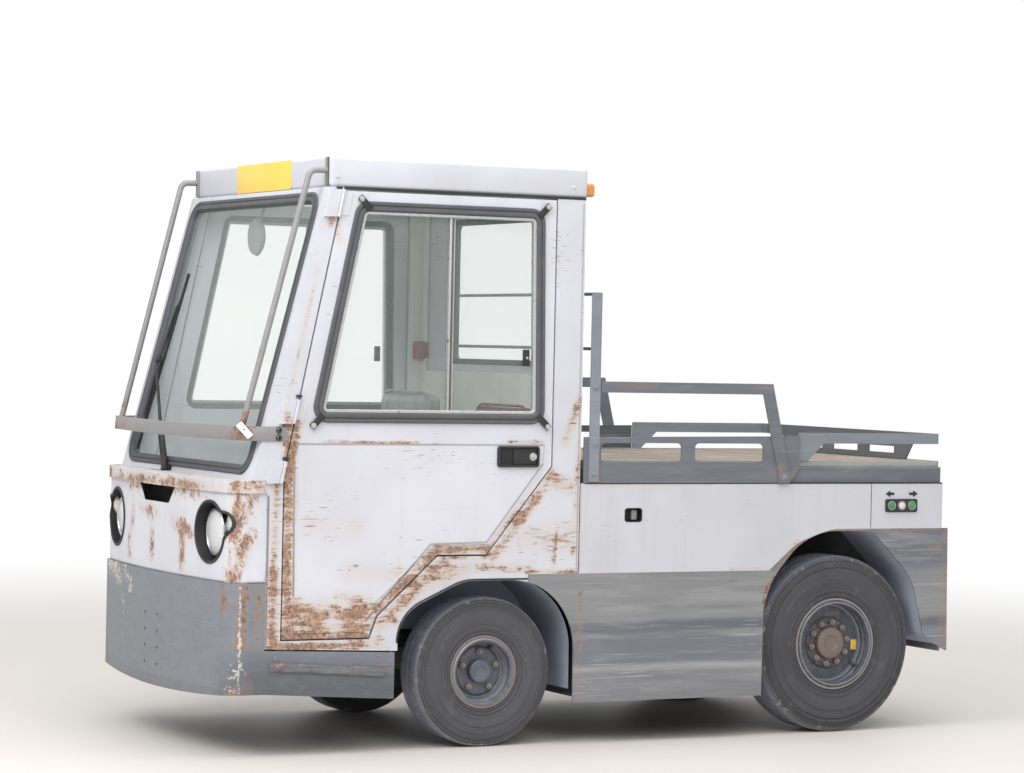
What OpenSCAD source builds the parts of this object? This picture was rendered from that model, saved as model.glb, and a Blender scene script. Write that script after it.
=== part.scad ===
// Airport baggage tug: a battery tow tractor with a closed two-seat cab and a load deck.
// Millimetres. +Z is up, the front faces -Y and the tug's left side is +X.
// Every station along Y is measured from the front axle, and at_axle() sets the whole tug
// so that the origin lies on the ground under the middle of its length.

/* [Body] */
// Width over the cab and the skirts
body_w = 1300; // [1240:10:1400]
// Height of the roof's top
roof_top = 2094; // [2060:2:2150]
// Depth of the roof cap
roof_h = 109; // [90:1:130]
// From the front axle forward to the bumper's middle
front_overhang = 1047; // [1030:1:1080]
// From the rear axle back to the tip of the rear fender
rear_overhang = 489; // [470:1:520]
// From the front axle back to the rear face of the cab
cab_back = 353; // [345:1:360]
// Height of the line where the white body meets the grey skirts
skirt_top = 623; // [618:1:640]
// Lower edge of the skirts
skirt_bottom = 154; // [140:1:190]
// Thickness of the body sheets
sheet = 4; // [3:0.5:6]
// Thickness of the skirts and bumpers
armour = 8; // [6:1:14]
// From the tip of the rear fender forward to the body's rear wall
tail_in = 35; // [25:1:50]
// Height of the fender's lower edge at its tip
fender_z = 303; // [290:1:320]
// Width of the plug recess in the side
plug_w = 73; // [60:1:90]
// Height of the plug recess
plug_h = 52; // [40:1:60]
// Height of the plug recess's middle
plug_z = 834; // [800:1:860]

/* [Frame] */
// From the body's side in to the inner face of a frame rail
rail_in = 460; // [450:5:480]
// Width of a frame rail
rail_w = 60; // [40:5:70]
// Lower edge of the rails under the cab
rail_bottom = 330; // [325:1:345]
// Lower edge of the rails behind the battery
rear_rail_bottom = 440; // [430:1:460]
// Depth of the rear rails
rear_rail_h = 80; // [60:5:100]
// Width of a cross beam or post
beam_w = 50; // [40:5:60]
// From the body's side in to the battery tub
tub_in = 60; // [50:1:80]
// Lower face of the battery tub
tub_bottom = 170; // [160:1:190]
// Upper edge of the battery tub
tub_top = 560; // [520:5:600]
// Thickness of the tub's plates
tub_plate = 10; // [8:1:14]
// From the tub's rear plate back to the rear axle
tub_clear = 399; // [390:1:420]
// Height of the battery's top
battery_top = 860; // [800:5:900]
// Space round the battery
battery_gap = 10; // [5:1:20]

/* [Nose] */
// Radius of the nose's shallow bow, seen from above
bow_r = 4500; // [4000:50:6000]
// Radius of the nose's corners
corner_r = 85; // [70:1:110]
// Lower edge of the front bumper
bumper_bottom = 195; // [180:1:230]
// How far the bumper's lower edge rises from its middle to its corners
bumper_rise = 25; // [8:1:40]
// Upper edge of the front bumper
bumper_top = 605; // [590:1:620]
// How far the bumper stands out from the nose panel
bumper_proud = 10; // [4:1:16]
// How far back the bumper's side steps reach, forward of the front axle
step_back = 376; // [370:1:390]
// Width of the step's ledge
ledge_w = 60; // [40:1:80]
// Top of the nose panel, under the lip
nose_top = 917; // [900:1:930]
// Top of the lip below the windscreen
lip_top = 961; // [950:1:975]
// Depth of the lip from front to back
lip_t = 26; // [20:1:40]
// Seam between the nose and the cab, forward of the front axle
seam = 872; // [865:1:885]
// Diameter of a headlamp
headlamp_d = 150; // [130:1:160]
// From the body's side in to a headlamp's middle
headlamp_in = 192; // [180:1:200]
// Height of the lamps in the nose
headlamp_z = 772; // [750:1:790]
// Width of a headlamp's opening
pod_w = 236; // [200:1:250]
// Height of a headlamp's opening
pod_h = 218; // [200:1:230]
// How far the opening's middle lies inward of the lamp's
pod_shift = 18; // [10:1:24]
// Diameter of the indicator beside a headlamp
indicator_d = 72; // [60:1:80]
// Half width of the air slot at its top
slot_top = 182; // [150:1:200]
// Half width of the air slot at its foot
slot_foot = 125; // [100:1:140]
// Height of the air slot's foot
slot_z = 856; // [840:1:870]

/* [Cab] */
// Thickness of the cab's walls and posts
wall = 45; // [35:1:55]
// Lean of the windscreen back from upright, in degrees
screen_tilt = 14.5; // [12:0.5:16]
// Foot of the windscreen, forward of the front axle
screen_foot = 933; // [925:1:945]
// From the body's side in to the windscreen's gasket
screen_in = 38; // [30:1:60]
// Radius of the windscreen's corners
screen_r = 78; // [60:1:100]
// From the body's side in to the rear window's gasket
rear_window_in = 225; // [180:5:260]
// Lower edge of the rear window's gasket
rear_window_bottom = 1355; // [1330:5:1400]
// Radius of the rear window's corners
rear_window_r = 60; // [50:1:80]
// Front edge of the roof, forward of the front axle
roof_front = 657; // [650:1:680]
// Thickness of the roof cap's top
roof_skin = 45; // [30:1:60]
// Height of the sill at the seam
sill_z = 378; // [370:1:390]
// How far the sill falls towards the wheel arch
sill_fall = 19; // [10:1:24]
// Height of the cab floor
floor_top = 398; // [395:1:402]
// Rear edge of the footwell, forward of the front axle
footwell_back = 390; // [385:1:400]
// Height of the seat box
seat_box_top = 700; // [690:1:720]
// Width of a rubber gasket
gasket = 32; // [24:1:36]
// Height of a gasket over the panel
gasket_t = 9; // [6:1:12]
// How far a gasket laps over the panel's edge
gasket_lap = 14; // [10:1:18]
// Thickness of the glass
glass_t = 5; // [4:0.5:6]

/* [Doors] */
// Gap around a door
door_gap = 6; // [5:0.5:8]
// Thickness of a door
door_t = 38; // [30:1:42]
// Front edge of a door's lower part, forward of the front axle
door_front = 808; // [800:1:815]
// Rear edge of a door, behind the front axle
door_rear = 232; // [220:1:240]
// Lower edge of a door
door_bottom = 410; // [405:1:420]
// Height where a door's front edge starts to lean back
door_kink_z = 1040; // [1020:1:1060]
// Lower edge of a door's window gasket
window_bottom = 1163; // [1150:1:1180]
// From the roof down to the window gasket's upper edge
window_drop = 45; // [40:1:60]
// Top of the raised panel on a door
panel_top = 1088; // [1080:1:1100]
// How far that panel stands out
panel_t = 3; // [2:0.5:5]
// Distance of the hinge line outside the door and ahead of it
hinge_out = 9; // [9:0.5:12]
// Radius of a hinge barrel
barrel_r = 8; // [6:0.5:8]
// Width of a door latch
latch_w = 168; // [150:1:180]
// Height of a door latch
latch_h = 76; // [60:1:80]
// Station of the post between a door's two panes, ahead of the front axle
pane_post = 189; // [170:1:210]
// Width of that post
pane_post_w = 21; // [16:1:30]

/* [Guard] */
// From the body's side in to the guard's tubes
guard_tube_in = 30; // [26:1:40]
// Diameter of the guard's tubes
guard_tube_d = 22; // [18:1:26]
// Thickness of the guard's flat bar
guard_t = 6; // [5:1:8]
// Height of the guard's flat bar
guard_h = 50; // [40:1:60]
// Lower edge of the flat bar
guard_z = 1098; // [1080:1:1110]
// Corner of the flat bar, forward of the front axle
guard_corner = 972; // [960:1:980]
// Middle of the flat bar, forward of the front axle
guard_nose = 1036; // [1020:1:1040]

/* [Interior] */
// From the tug's middle to a seat and the steering wheel
driver_x = 300; // [290:5:310]
// Width of a seat
seat_w = 460; // [440:5:480]
// Thickness of a seat's cushion
cushion_t = 100; // [80:5:120]
// Thickness of a seat's back
back_t = 90; // [70:5:100]
// Height of a seat's back
back_h = 340; // [300:5:380]
// Height of a seat's base
seat_base_h = 60; // [40:5:80]
// Width of a seat's base
seat_base_w = 360; // [300:5:420]
// Depth of a seat's base
seat_base_d = 310; // [260:5:360]
// Radius of the steering wheel
steering_r = 182; // [170:1:200]
// Radius of its rim's section
steering_grip = 13; // [11:1:15]
// Height of the steering wheel's hub
steering_z = 1060; // [1040:5:1080]
// Station of that hub, forward of the front axle
steering_y = 520; // [500:5:540]
// Lean of the steering column, in degrees
column_lean = 32; // [25:1:40]

/* [Wheels] */
// Distance between the axles
wheelbase = 1489; // [1480:1:1500]
// Diameter of a front tyre
front_tyre_d = 540; // [520:2:550]
// Width of a front tyre
front_tyre_w = 158; // [140:2:160]
// Diameter of a front rim
front_rim_d = 240; // [220:2:250]
// Diameter of a rear tyre
rear_tyre_d = 672; // [650:2:690]
// Width of a rear tyre
rear_tyre_w = 190; // [170:2:200]
// Diameter of a rear rim
rear_rim_d = 324; // [310:2:340]
// How far a front tyre stands inside the body's side
front_inset = 40; // [36:1:50]
// How far a rear tyre stands inside the body's side
rear_inset = 27; // [22:1:40]
// From the middle of a front tyre in to its kingpin
kingpin_in = 101; // [96:1:106]
// Radius of a kingpin
kingpin_r = 18; // [14:1:20]
// Radius of a wheel spindle
spindle_r = 25; // [20:1:28]
// From the wheel's middle to a yoke's plate
yoke_gap = 61; // [58:1:66]
// Thickness of a yoke's plate
yoke_t = 24; // [18:1:26]
// Thickness of a wheel's disc
disc_t = 10; // [8:1:14]
// From a rear tyre's inner side to the end of the axle's tube
motor_gap = 43; // [35:1:60]
// From a kingpin in to the end of the front axle's beam
yoke_reach = 45; // [40:1:60]
// Diameter of the rear axle's tube
axle_tube_d = 170; // [150:5:190]

/* [Deck] */
// Height of the top of the deck's edge
deck_top = 1034; // [1020:1:1060]
// Lower edge of the deck's edge moulding
deck_bottom = 950; // [940:1:955]
// From the rear of the cab back to the deck
deck_gap = 16; // [12:1:20]
// From the tip of the fender forward to the deck's rear edge
deck_in = 24; // [20:1:40]
// Width of a plank
plank_w = 186; // [120:2:240]
// Gap between planks
plank_gap = 6; // [3:1:12]
// Thickness of a plank
plank_t = 24; // [18:1:30]
// Width of the edge moulding round the planks
moulding_w = 60; // [50:1:70]
// Number of bearers under the planks
bearer_count = 3; // [2:1:4]

/* [Rails] */
// Thickness of the side boards and rails
rail_t = 7; // [5:1:9]
// Depth of a flat rail bar
bar_h = 40; // [30:1:45]
// Height of the headboard's top
headboard_top = 1645; // [1600:5:1700]
// Height of the headboard's lower rod
lower_rod_z = 1440; // [1400:5:1480]
// Diameter of the headboard's rods
rod_d = 12; // [10:1:16]
// Height of the side rails' top
rail_top = 1322; // [1280:2:1360]
// Height of the side boards' top
board_top = 1123; // [1110:1:1130]
// Rear end of a side board, forward of the rear axle
board_in = 202; // [195:1:210]
// Length of the front slot in a side board
board_slot = 338; // [300:2:360]
// Height of the low rear rail
low_rail_top = 1140; // [1132:1:1160]

/* [Coupling] */
// Diameter of the tow pin
tow_pin_d = 30; // [24:1:36]
// Middle of the lowest coupling plate
coupling_z = 306; // [300:1:320]
// Pitch of the coupling plates
coupling_step = 80; // [70:1:90]
// Thickness of a coupling plate
coupling_t = 16; // [12:1:20]
// From the coupling's top step up to its plate's top
coupling_head = 44; // [30:1:60]
// Radius of the coupling plates' ends
coupling_r = 42; // [36:1:50]
// How far the coupling stands out behind the fender's tip
coupling_reach = 60; // [45:1:80]
// Diameter of the holes in the front bumper
bumper_hole_d = 14; // [10:1:18]
// Sideways distance between those holes
bumper_hole_x = 125; // [110:1:140]
// Upright distance between their rows
bumper_hole_z = 60; // [50:1:65]
// Height of their lowest row
bumper_hole_foot = 271; // [250:1:280]
// Diameter of the holes in the rear plate
plate_hole_d = 18; // [14:1:22]
// Sideways distance between those holes
plate_hole_x = 300; // [260:5:340]
// Upright distance between those holes
plate_hole_z = 160; // [140:5:180]

/* [Hidden] */
$fn = 48;
half_w = body_w / 2;
roof_bottom = roof_top - roof_h;
tip = wheelbase + rear_overhang;
body_back = tip - tail_in;
coupling_back = tip + coupling_reach;
overall_l = front_overhang + coupling_back;
axle_y = front_overhang - overall_l / 2;
nose_y = -front_overhang;
// Clearance of a fit that slides or turns, and of a piece that only rests on another
run = 0.05;
rest = 0.3;
white = "gainsboro";
grey = "slategray";
dark = "dimgray";

// Frame
rail_x = half_w - rail_in;
tub_x = half_w - tub_in;
tub_front = cab_back + 7;
tub_back = wheelbase - tub_clear;
bulkhead_y = 12 - seam;

// Wheels
front_r = front_tyre_d / 2;
rear_r = rear_tyre_d / 2;
front_wheel_x = half_w - front_inset - front_tyre_w / 2;
rear_wheel_x = half_w - rear_inset - rear_tyre_w / 2;
kingpin_x = front_wheel_x - kingpin_in;

// Outline of the front wheel arch, as [y, z, corner radius]
arch_foot = 60;
front_arch = [
    [-front_r - 98, arch_foot, 0], [-front_r - 95, front_tyre_d - 54, 150],
    [-front_r + 160, front_tyre_d + 63, 200], [front_r + 68, front_tyre_d + 63, 257],
    [front_r + 72, arch_foot, 0]
];
// Where the cab's side ends over the front wheel and the skirt begins
skirt_front = front_r - 123;
// Outline of the rear wheel arch, as [y, z, corner radius] with y from the rear axle;
// a radius below 0 rounds a hollow corner
rear_arch = [
    [-rear_r - 12, arch_foot, 0], [-rear_r - 9, rear_tyre_d - 120, 300],
    [-rear_r / 2 + 16, rear_tyre_d + 96, 270], [rear_r - 200, rear_tyre_d + 96, 110],
    [rear_r - 14, rear_tyre_d - 87, 230], [rear_r + 46, fender_z + 50, -60],
    [rear_overhang + 12, fender_z - 9, 0], [rear_overhang + 12, arch_foot, 0]
];
// Upper edge of the skirt and the rear fender, as [y, z, corner radius]
fender_line = [
    [wheelbase - 324, skirt_top, 0], [wheelbase - 202, rear_tyre_d + 53, 160],
    [wheelbase - 56, rear_tyre_d + 104, 300], [tip - 7, rear_tyre_d + 104, 0]
];

// Windscreen, measured up its plane from its foot at the top of the lip
screen_len = (roof_bottom - lip_top) / cos(screen_tilt);
screen_rim = 17;
screen_w = body_w - 2 * screen_in;
function screen_y(z) = -screen_foot + (z - lip_top) * tan(screen_tilt);

// Front edge of a door: upright below the kink, leaning back above it
edge_lean = 0.211;
edge_step = 9;
function edge_y(z) = edge_step - door_front + max(z - door_kink_z, 0) * edge_lean;
door_top = roof_bottom - 12;
// Where a door's outline passes over the wheel arch
door_arch_z = front_arch[2][1] + 94;
door_arch_front = front_arch[2][0] - 109;
door_arch_rear = front_arch[2][0] + 86;
// Outline of a door, as [y, z]
door_outline = [
    [edge_y(door_top), door_top], [edge_y(door_kink_z), door_kink_z],
    [-door_front, door_kink_z - 30], [-door_front, door_bottom], [-480, door_bottom],
    [-451, door_bottom + 76], [door_arch_front, door_arch_z], [door_arch_rear, door_arch_z],
    [door_rear, panel_top - 75], [door_rear, door_top]
];
// Outline of the raised panel on a door, as [y, z]
panel_outline = [
    [edge_y(panel_top) + 30, panel_top], [40 - door_front, door_bottom + 20],
    [-500, door_bottom + 20], [-489, door_bottom + 94],
    [door_arch_front - 18, door_arch_z + 34], [door_arch_rear + 6, door_arch_z + 37],
    [door_rear - 31, panel_top - 79], [door_rear - 31, panel_top]
];
// Outline of the gasket round a door's window, as [y, z, corner radius]
window_top = roof_bottom - window_drop;
window_in = 54;
window_r = 55;
door_window = [
    [edge_y(window_top) + window_in, window_top, window_r],
    [edge_y(window_bottom) + window_in, window_bottom, window_r],
    [door_rear - 32, window_bottom, window_r], [door_rear - 46, window_top, window_r]
];
// Hinges of a door, as [height of the middle, length]
door_hinges = [[990, 76], [1200, 84], [roof_bottom - 56, 96]];

// Deck and its rails
deck_front = cab_back + deck_gap;
deck_back = tip - deck_in;
deck_w = body_w - 10;
board_x = half_w - 5;
board_back = wheelbase - board_in;
low_rail_x = half_w - 6;
low_rail_back = deck_back - 31;

// Unit vector along v
function unit(v) = v / norm(v);
function flat(p) = [p[0], p[1]];
// Centre of the arc of radius r that rounds corner b between a and c
function arc_centre(a, b, c, r) =
    let (u = unit(a - b), v = unit(c - b), half = acos(u * v) / 2)
    b + unit(u + v) * r / sin(half);
// Foot of the perpendicular from p to the line from a to b
function foot(p, a, b) = a + unit(b - a) * ((p - a) * unit(b - a));
// Outline moved inwards by d, its corner radii kept at least at 6
function shrink(points, d) =
    let (n = len(points))
    [for (i = [0:n - 1])
        let (a = flat(points[(i + n - 1) % n]), b = flat(points[i]), c = flat(points[(i + 1) % n]))
        let (hollow = points[i][2] < 0, m = arc_centre(a, b, c, hollow ? -d : d))
        [m[0], m[1], hollow ? min(points[i][2] - d, -6) : max(points[i][2] - d, 6)]];

// Outline with each corner rounded by its own radius, a hollow corner's given below 0
module rounded(points) {
    n = len(points);
    centres = [for (i = [0:n - 1])
        points[i][2] == 0 ? flat(points[i]) : arc_centre(flat(points[(i + n - 1) % n]),
            flat(points[i]), flat(points[(i + 1) % n]), abs(points[i][2]))];
    difference() {
        union() {
            for (i = [0:n - 1]) if (points[i][2] > 0) translate(centres[i]) circle(points[i][2]);
            polygon([for (i = [0:n - 1]) each [
                foot(centres[i], flat(points[(i + n - 1) % n]), flat(points[i])),
                foot(centres[i], flat(points[i]), flat(points[(i + 1) % n]))]]);
        }
        for (i = [0:n - 1]) if (points[i][2] < 0) translate(centres[i]) circle(-points[i][2]);
    }
}
// Rectangle about the origin with round corners
module round_rect(w, h, r) {
    rounded([[w / 2, h / 2, r], [-w / 2, h / 2, r], [-w / 2, -h / 2, r], [w / 2, -h / 2, r]]);
}

// Places what follows by its station from the front axle
module at_axle() { translate([0, axle_y, 0]) children(); }
module both_sides() {
    children();
    mirror([1, 0, 0]) children();
}
// Turns a side-view outline (y, z) into a plate from x0 to x1
module side_plate(x0, x1) {
    translate([x0, 0, 0]) rotate([90, 0, 90]) linear_extrude(x1 - x0) children();
}
// Turns a front-view outline (x, z) into a plate from y0 to y1
module front_plate(y0, y1) {
    translate([0, y1, 0]) rotate([90, 0, 0]) linear_extrude(y1 - y0) children();
}
module box_at(low, high) { translate(low) cube(high - low); }
// Round bar from a to b
module rod(a, b, r) {
    v = b - a;
    translate(a) rotate([0, acos(v[2] / norm(v)), atan2(v[1], v[0])]) cylinder(h = norm(v), r = r);
}

// Plan of the whole nose, moved inwards by inset and closed at station back
corner_x = half_w - corner_r;
corner_y = nose_y + bow_r - sqrt(pow(bow_r - corner_r, 2) - corner_x * corner_x);
module nose_plan(inset, back) {
    // half width at which the bow meets the corners
    bow_x = corner_x * (bow_r - inset) / (bow_r - corner_r);
    intersection() {
        union() {
            intersection() {
                translate([0, nose_y + bow_r]) circle(bow_r - inset, $fn = 720);
                translate([-bow_x, nose_y - 1]) square([2 * bow_x, bow_r]);
            }
            for (s = [-1, 1]) translate([s * corner_x, corner_y]) circle(corner_r - inset);
            translate([inset - half_w, corner_y]) square([body_w - 2 * inset, bow_r]);
        }
        translate([-body_w, nose_y - 1]) square([2 * body_w, back - nose_y + 1]);
    }
}
// Wall of the nose between two heights
module nose_wall(inset, thick, z0, z1) {
    translate([0, 0, z0]) linear_extrude(z1 - z0) difference() {
        nose_plan(inset, -seam);
        nose_plan(inset + thick, 1 - seam);
    }
}
// Puts what follows on the windscreen's outer plane, with its z pointing out
module on_screen() {
    translate([0, -screen_foot, lip_top]) rotate([90 - screen_tilt, 0, 0]) children();
}

// Frame of the tug: rails, cross beams, and the tub that carries the battery
module chassis() at_axle() color(dark) {
    rear_rail_top = rear_rail_bottom + rear_rail_h;
    beam_top = floor_top - sheet;
    beam_end = half_w - wall;
    both_sides() {
        box_at([rail_x, bulkhead_y, rail_bottom], [rail_x + rail_w, tub_front, beam_top]);
        box_at([rail_x, tub_back, rear_rail_bottom],
            [rail_x + rail_w, body_back - sheet, rear_rail_top]);
        box_at([tub_x - beam_w, tub_front, tub_bottom], [tub_x, tub_back, tub_top]);
        // posts under the load deck
        for (y = [tub_front + tub_plate, body_back - beam_w - tub_plate])
            box_at([tub_x - beam_w, y, rear_rail_bottom], [tub_x, y + beam_w, deck_bottom]);
    }
    for (y = [bulkhead_y, -footwell_back - beam_w])
        box_at([-beam_end, y, rail_bottom], [beam_end, y + beam_w, beam_top]);
    box_at([-tub_x, tub_front, tub_bottom], [tub_x, tub_front + tub_plate, tub_top]);
    box_at([-tub_x, tub_back - tub_plate, tub_bottom], [tub_x, tub_back, tub_top]);
    box_at([-tub_x, tub_front, tub_bottom], [tub_x, tub_back, tub_bottom + tub_plate]);
    // rear cross member behind the rear panel
    box_at([-tub_x, body_back - beam_w - tub_plate, rear_rail_bottom],
        [tub_x, body_back - sheet, rear_rail_top]);
}

// Battery: one closed block in the tub
module battery() at_axle() color("darkolivegreen") {
    side = tub_x - beam_w - battery_gap;
    end = tub_plate + battery_gap;
    box_at([-side, tub_front + end, tub_bottom + tub_plate], [side, tub_back - end, battery_top]);
}

// Front bumper with its side steps and the bolt holes for a front coupling
bumper_plate_l = 50;
edge_r = half_w * half_w / (2 * bumper_rise);
module front_bumper() at_axle() color(grey) {
    difference() {
        union() {
            intersection() {
                nose_wall(0, armour, bumper_bottom, bumper_top);
                front_plate(nose_y - 10, 10 - seam)
                    translate([0, bumper_bottom + edge_r]) circle(edge_r, $fn = 720);
            }
            both_sides() side_plate(half_w - armour, half_w) polygon([
                [-seam - 1, bumper_bottom + bumper_rise], [-step_back, bumper_bottom - 4],
                [-step_back, sill_z - sill_fall - 4], [-seam - 1, sill_z - 6]]);
            // ledge of the step, and the plates that bolt the bumper to the frame
            both_sides() box_at([half_w - ledge_w, 18 - seam, sill_z - 88],
                [half_w, -step_back - 36, sill_z - 78]);
            both_sides() box_at([half_w - wall, bulkhead_y, rail_bottom],
                [half_w, bulkhead_y + bumper_plate_l, rail_bottom + 20]);
        }
        for (x = [-0.5, 0.5], i = [0:3])
            translate([x * bumper_hole_x, nose_y + 100, bumper_hole_foot + i * bumper_hole_z])
                rotate([90, 0, 0]) cylinder(h = 200, d = bumper_hole_d);
    }
}

// Nose panel with its lamp openings and the air slot under the lip
headlamp_x = half_w - headlamp_in;
module lamp_opening(less) {
    translate([headlamp_x - pod_shift, headlamp_z])
        round_rect(pod_w - 2 * less, pod_h - 2 * less, pod_h * 0.46 - less);
}
module nose_panel() at_axle() color(white) {
    difference() {
        nose_wall(bumper_proud, sheet, bumper_top, nose_top);
        both_sides() front_plate(nose_y - 10, corner_y + corner_r) lamp_opening(0);
        front_plate(nose_y - 10, corner_y) polygon([
            [-slot_top, nose_top + 1], [slot_top, nose_top + 1],
            [slot_foot, slot_z], [-slot_foot, slot_z]]);
    }
}

// Headlamps with their pods, and the round indicators beside them
pod_depth = 90;
module headlamps() at_axle() color("black") {
    face = nose_y + bumper_proud + 14;
    back = face + pod_depth;
    indicator_x = headlamp_x + (headlamp_d + indicator_d) / 2 - 14;
    both_sides() {
        front_plate(face, back) difference() {
            lamp_opening(0.5);
            lamp_opening(4.5);
        }
        front_plate(back - 10, back) lamp_opening(0.5);
        translate([headlamp_x - pod_shift, back - 5, headlamp_z]) rotate([90, 0, 0])
            cylinder(h = pod_depth - 30, d = headlamp_d);
        translate([indicator_x, back - 5, headlamp_z + 41]) rotate([90, 0, 0])
            cylinder(h = pod_depth - 45, d = indicator_d);
    }
}

// Lip and top plate of the cowl
module cowl() at_axle() color(white) {
    nose_wall(2, lip_t, nose_top, lip_top);
    translate([0, 0, lip_top - sheet]) linear_extrude(sheet) nose_plan(bumper_proud, -seam);
    box_at([wall - half_w, -seam - 1, lip_top - sheet],
        [half_w - wall, bulkhead_y + sheet, lip_top]);
}

// Cab shell: side walls, windscreen frame and rear wall
module screen_outline(d) {
    translate([0, screen_len / 2])
        round_rect(screen_w - 2 * d, screen_len - 2 * screen_rim - 2 * d, screen_r - d);
}
module rear_window_outline(d) {
    top = roof_bottom - 40;
    translate([0, (top + rear_window_bottom) / 2])
        round_rect(body_w - 2 * rear_window_in - 2 * d, top - rear_window_bottom - 2 * d,
            rear_window_r - d);
}
// The door's opening: its outline grown by the door gap
module door_opening() {
    g = door_gap;
    grow = [
        [-g, g], [-g, 0], [-g, 0], [-g, -g], [g, -g], [g * 1.3, -g * 0.4],
        [g * 0.6, -g], [g * 0.4, -g], [g, -g * 0.4], [g, g]];
    polygon([for (i = [0:len(grow) - 1]) door_outline[i] + grow[i]]);
}
module cab_side() {
    side_plate(half_w - wall, half_w) difference() {
        polygon([[-seam, sill_z], [front_arch[1][0] + 30, sill_z - sill_fall],
            [skirt_front, sill_z - sill_fall], [skirt_front, skirt_top],
            [cab_back, skirt_top], [cab_back, roof_bottom],
            [screen_y(roof_bottom), roof_bottom], [screen_y(lip_top), lip_top], [-seam, lip_top]]);
        rounded(front_arch);
        door_opening();
    }
}
// Blocks on the front posts that hold the door hinges' pins
hinge_block_w = 42;
module hinge_blocks() {
    for (h = door_hinges) {
        low = h[0] - h[1] / 2;
        high = h[0] + h[1] / 2;
        gap = hinge_out + barrel_r + 1;
        side_plate(half_w, half_w + 2 * barrel_r) polygon([
            [hinge_y(low) - gap + hinge_out, low], [hinge_y(high) - gap + hinge_out, high],
            [hinge_y(high) - gap + hinge_out - hinge_block_w, high],
            [hinge_y(low) - gap + hinge_out - hinge_block_w, low]]);
    }
}
// The hinge line: it follows the lean of the door's upper front edge
function hinge_y(z) = edge_step - door_front + (z - door_kink_z) * edge_lean - hinge_out;
module cab_shell() at_axle() color(white) {
    both_sides() {
        cab_side();
        hinge_blocks();
    }
    difference() {
        depth = wall / cos(screen_tilt);
        side_plate(1 - half_w, half_w - 1) polygon([
            [screen_y(lip_top), lip_top], [screen_y(roof_bottom), roof_bottom],
            [screen_y(roof_bottom) + depth, roof_bottom], [screen_y(lip_top) + depth, lip_top]]);
        on_screen() translate([0, 0, -wall - 1]) linear_extrude(wall + 2)
            screen_outline(gasket_lap);
    }
    front_plate(cab_back - wall, cab_back) difference() {
        translate([1 - half_w, skirt_top]) square([body_w - 2, roof_bottom - skirt_top]);
        rear_window_outline(gasket_lap);
    }
}

// Gaskets and panes of the windscreen and the rear window
seal_depth = 24;
pane_depth = 12;
module cab_seals() at_axle() color("black") {
    on_screen() {
        linear_extrude(gasket_t) difference() {
            screen_outline(0);
            screen_outline(gasket);
        }
        translate([0, 0, -seal_depth]) linear_extrude(seal_depth) difference() {
            screen_outline(gasket_lap + rest);
            screen_outline(gasket);
        }
    }
    front_plate(cab_back, cab_back + gasket_t - 1) difference() {
        rear_window_outline(0);
        rear_window_outline(gasket);
    }
    front_plate(cab_back - seal_depth, cab_back) difference() {
        rear_window_outline(gasket_lap);
        rear_window_outline(gasket);
    }
}
module cab_glass() at_axle() color("lightblue", 0.4) {
    on_screen() translate([0, 0, -pane_depth]) linear_extrude(glass_t) screen_outline(gasket);
    front_plate(cab_back - pane_depth - glass_t, cab_back - pane_depth)
        rear_window_outline(gasket);
}

// Roof cap, hollow below
roof_lap = 8;
module roof() at_axle() color(white) {
    back = cab_back + roof_lap;
    difference() {
        side_plate(-half_w, half_w) rounded([
            [back, roof_top, 14], [-roof_front, roof_top, 14],
            [-roof_front, roof_bottom, 4], [back, roof_bottom, 4]]);
        box_at([wall - half_w, wall - roof_front, roof_bottom - 1],
            [half_w - wall, back - wall, roof_top - roof_skin]);
    }
}

// Guard in front of the windscreen: two tubes from the roof and one flat bar
guard_x = half_w - 35;
guard_foot = 806;
module windscreen_guard() at_axle() color(grey) {
    tube_x = half_w - guard_tube_in;
    tube_r = guard_tube_d / 2;
    // bends of a tube, as [x, y, z], from the roof's bracket down to the flat bar
    bends = [
        [tube_x, -roof_front - guard_t / 2, roof_top - 50],
        [tube_x, -roof_front - 55, roof_top - 54], [tube_x - 3, -roof_front - 73, roof_top - 82],
        [guard_x - 16, 15 - guard_corner, guard_z + 6]
    ];
    both_sides() {
        // bracket on the roof's front corner
        box_at([tube_x - 12, -roof_front - guard_t, roof_bottom + 4],
            [tube_x + 12, -roof_front, roof_top - 4]);
        for (i = [0:2]) rod(bends[i], bends[i + 1], tube_r);
        for (i = [1, 2]) translate(bends[i]) sphere(tube_r + 0.6);
        // ends of the flat bar, bolted to the front posts
        translate([0, 0, guard_z]) linear_extrude(guard_h) polygon([
            [half_w, -guard_foot], [half_w + guard_t, -guard_foot], [half_w + guard_t, -905],
            [guard_x + guard_t, -guard_corner - 2], [guard_x, 4 - guard_corner], [half_w, -903]]);
        translate([0, 0, guard_z]) linear_extrude(guard_h) polygon([
            [guard_x + guard_t, -guard_corner - 2], [0, -guard_nose - guard_t], [0, -guard_nose],
            [guard_x - 24, 4 - guard_corner], [guard_x, 4 - guard_corner]]);
    }
}

// Wiper on the windscreen frame: spindle, arm and blade, measured on the screen's plane
wiper_foot = [-112, 8.5];
wiper_grip = [-415, 380];
wiper_blade = [18, 540, 9];
module wipers() at_axle() color("black") on_screen() {
    reach = wiper_grip - wiper_foot;
    arm = [norm(reach), 16, 12];
    translate(wiper_foot) cylinder(h = 26, r = 7.5);
    translate([wiper_foot[0], wiper_foot[1], 14]) rotate([0, 0, atan2(reach[1], reach[0])])
        translate([0, -arm[1] / 2, 0]) cube(arm);
    translate([wiper_grip[0], wiper_grip[1], 11]) rotate([0, 0, 3])
        translate([-wiper_blade[0] / 2, -wiper_blade[1] / 2, 0]) cube(wiper_blade);
}

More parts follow.
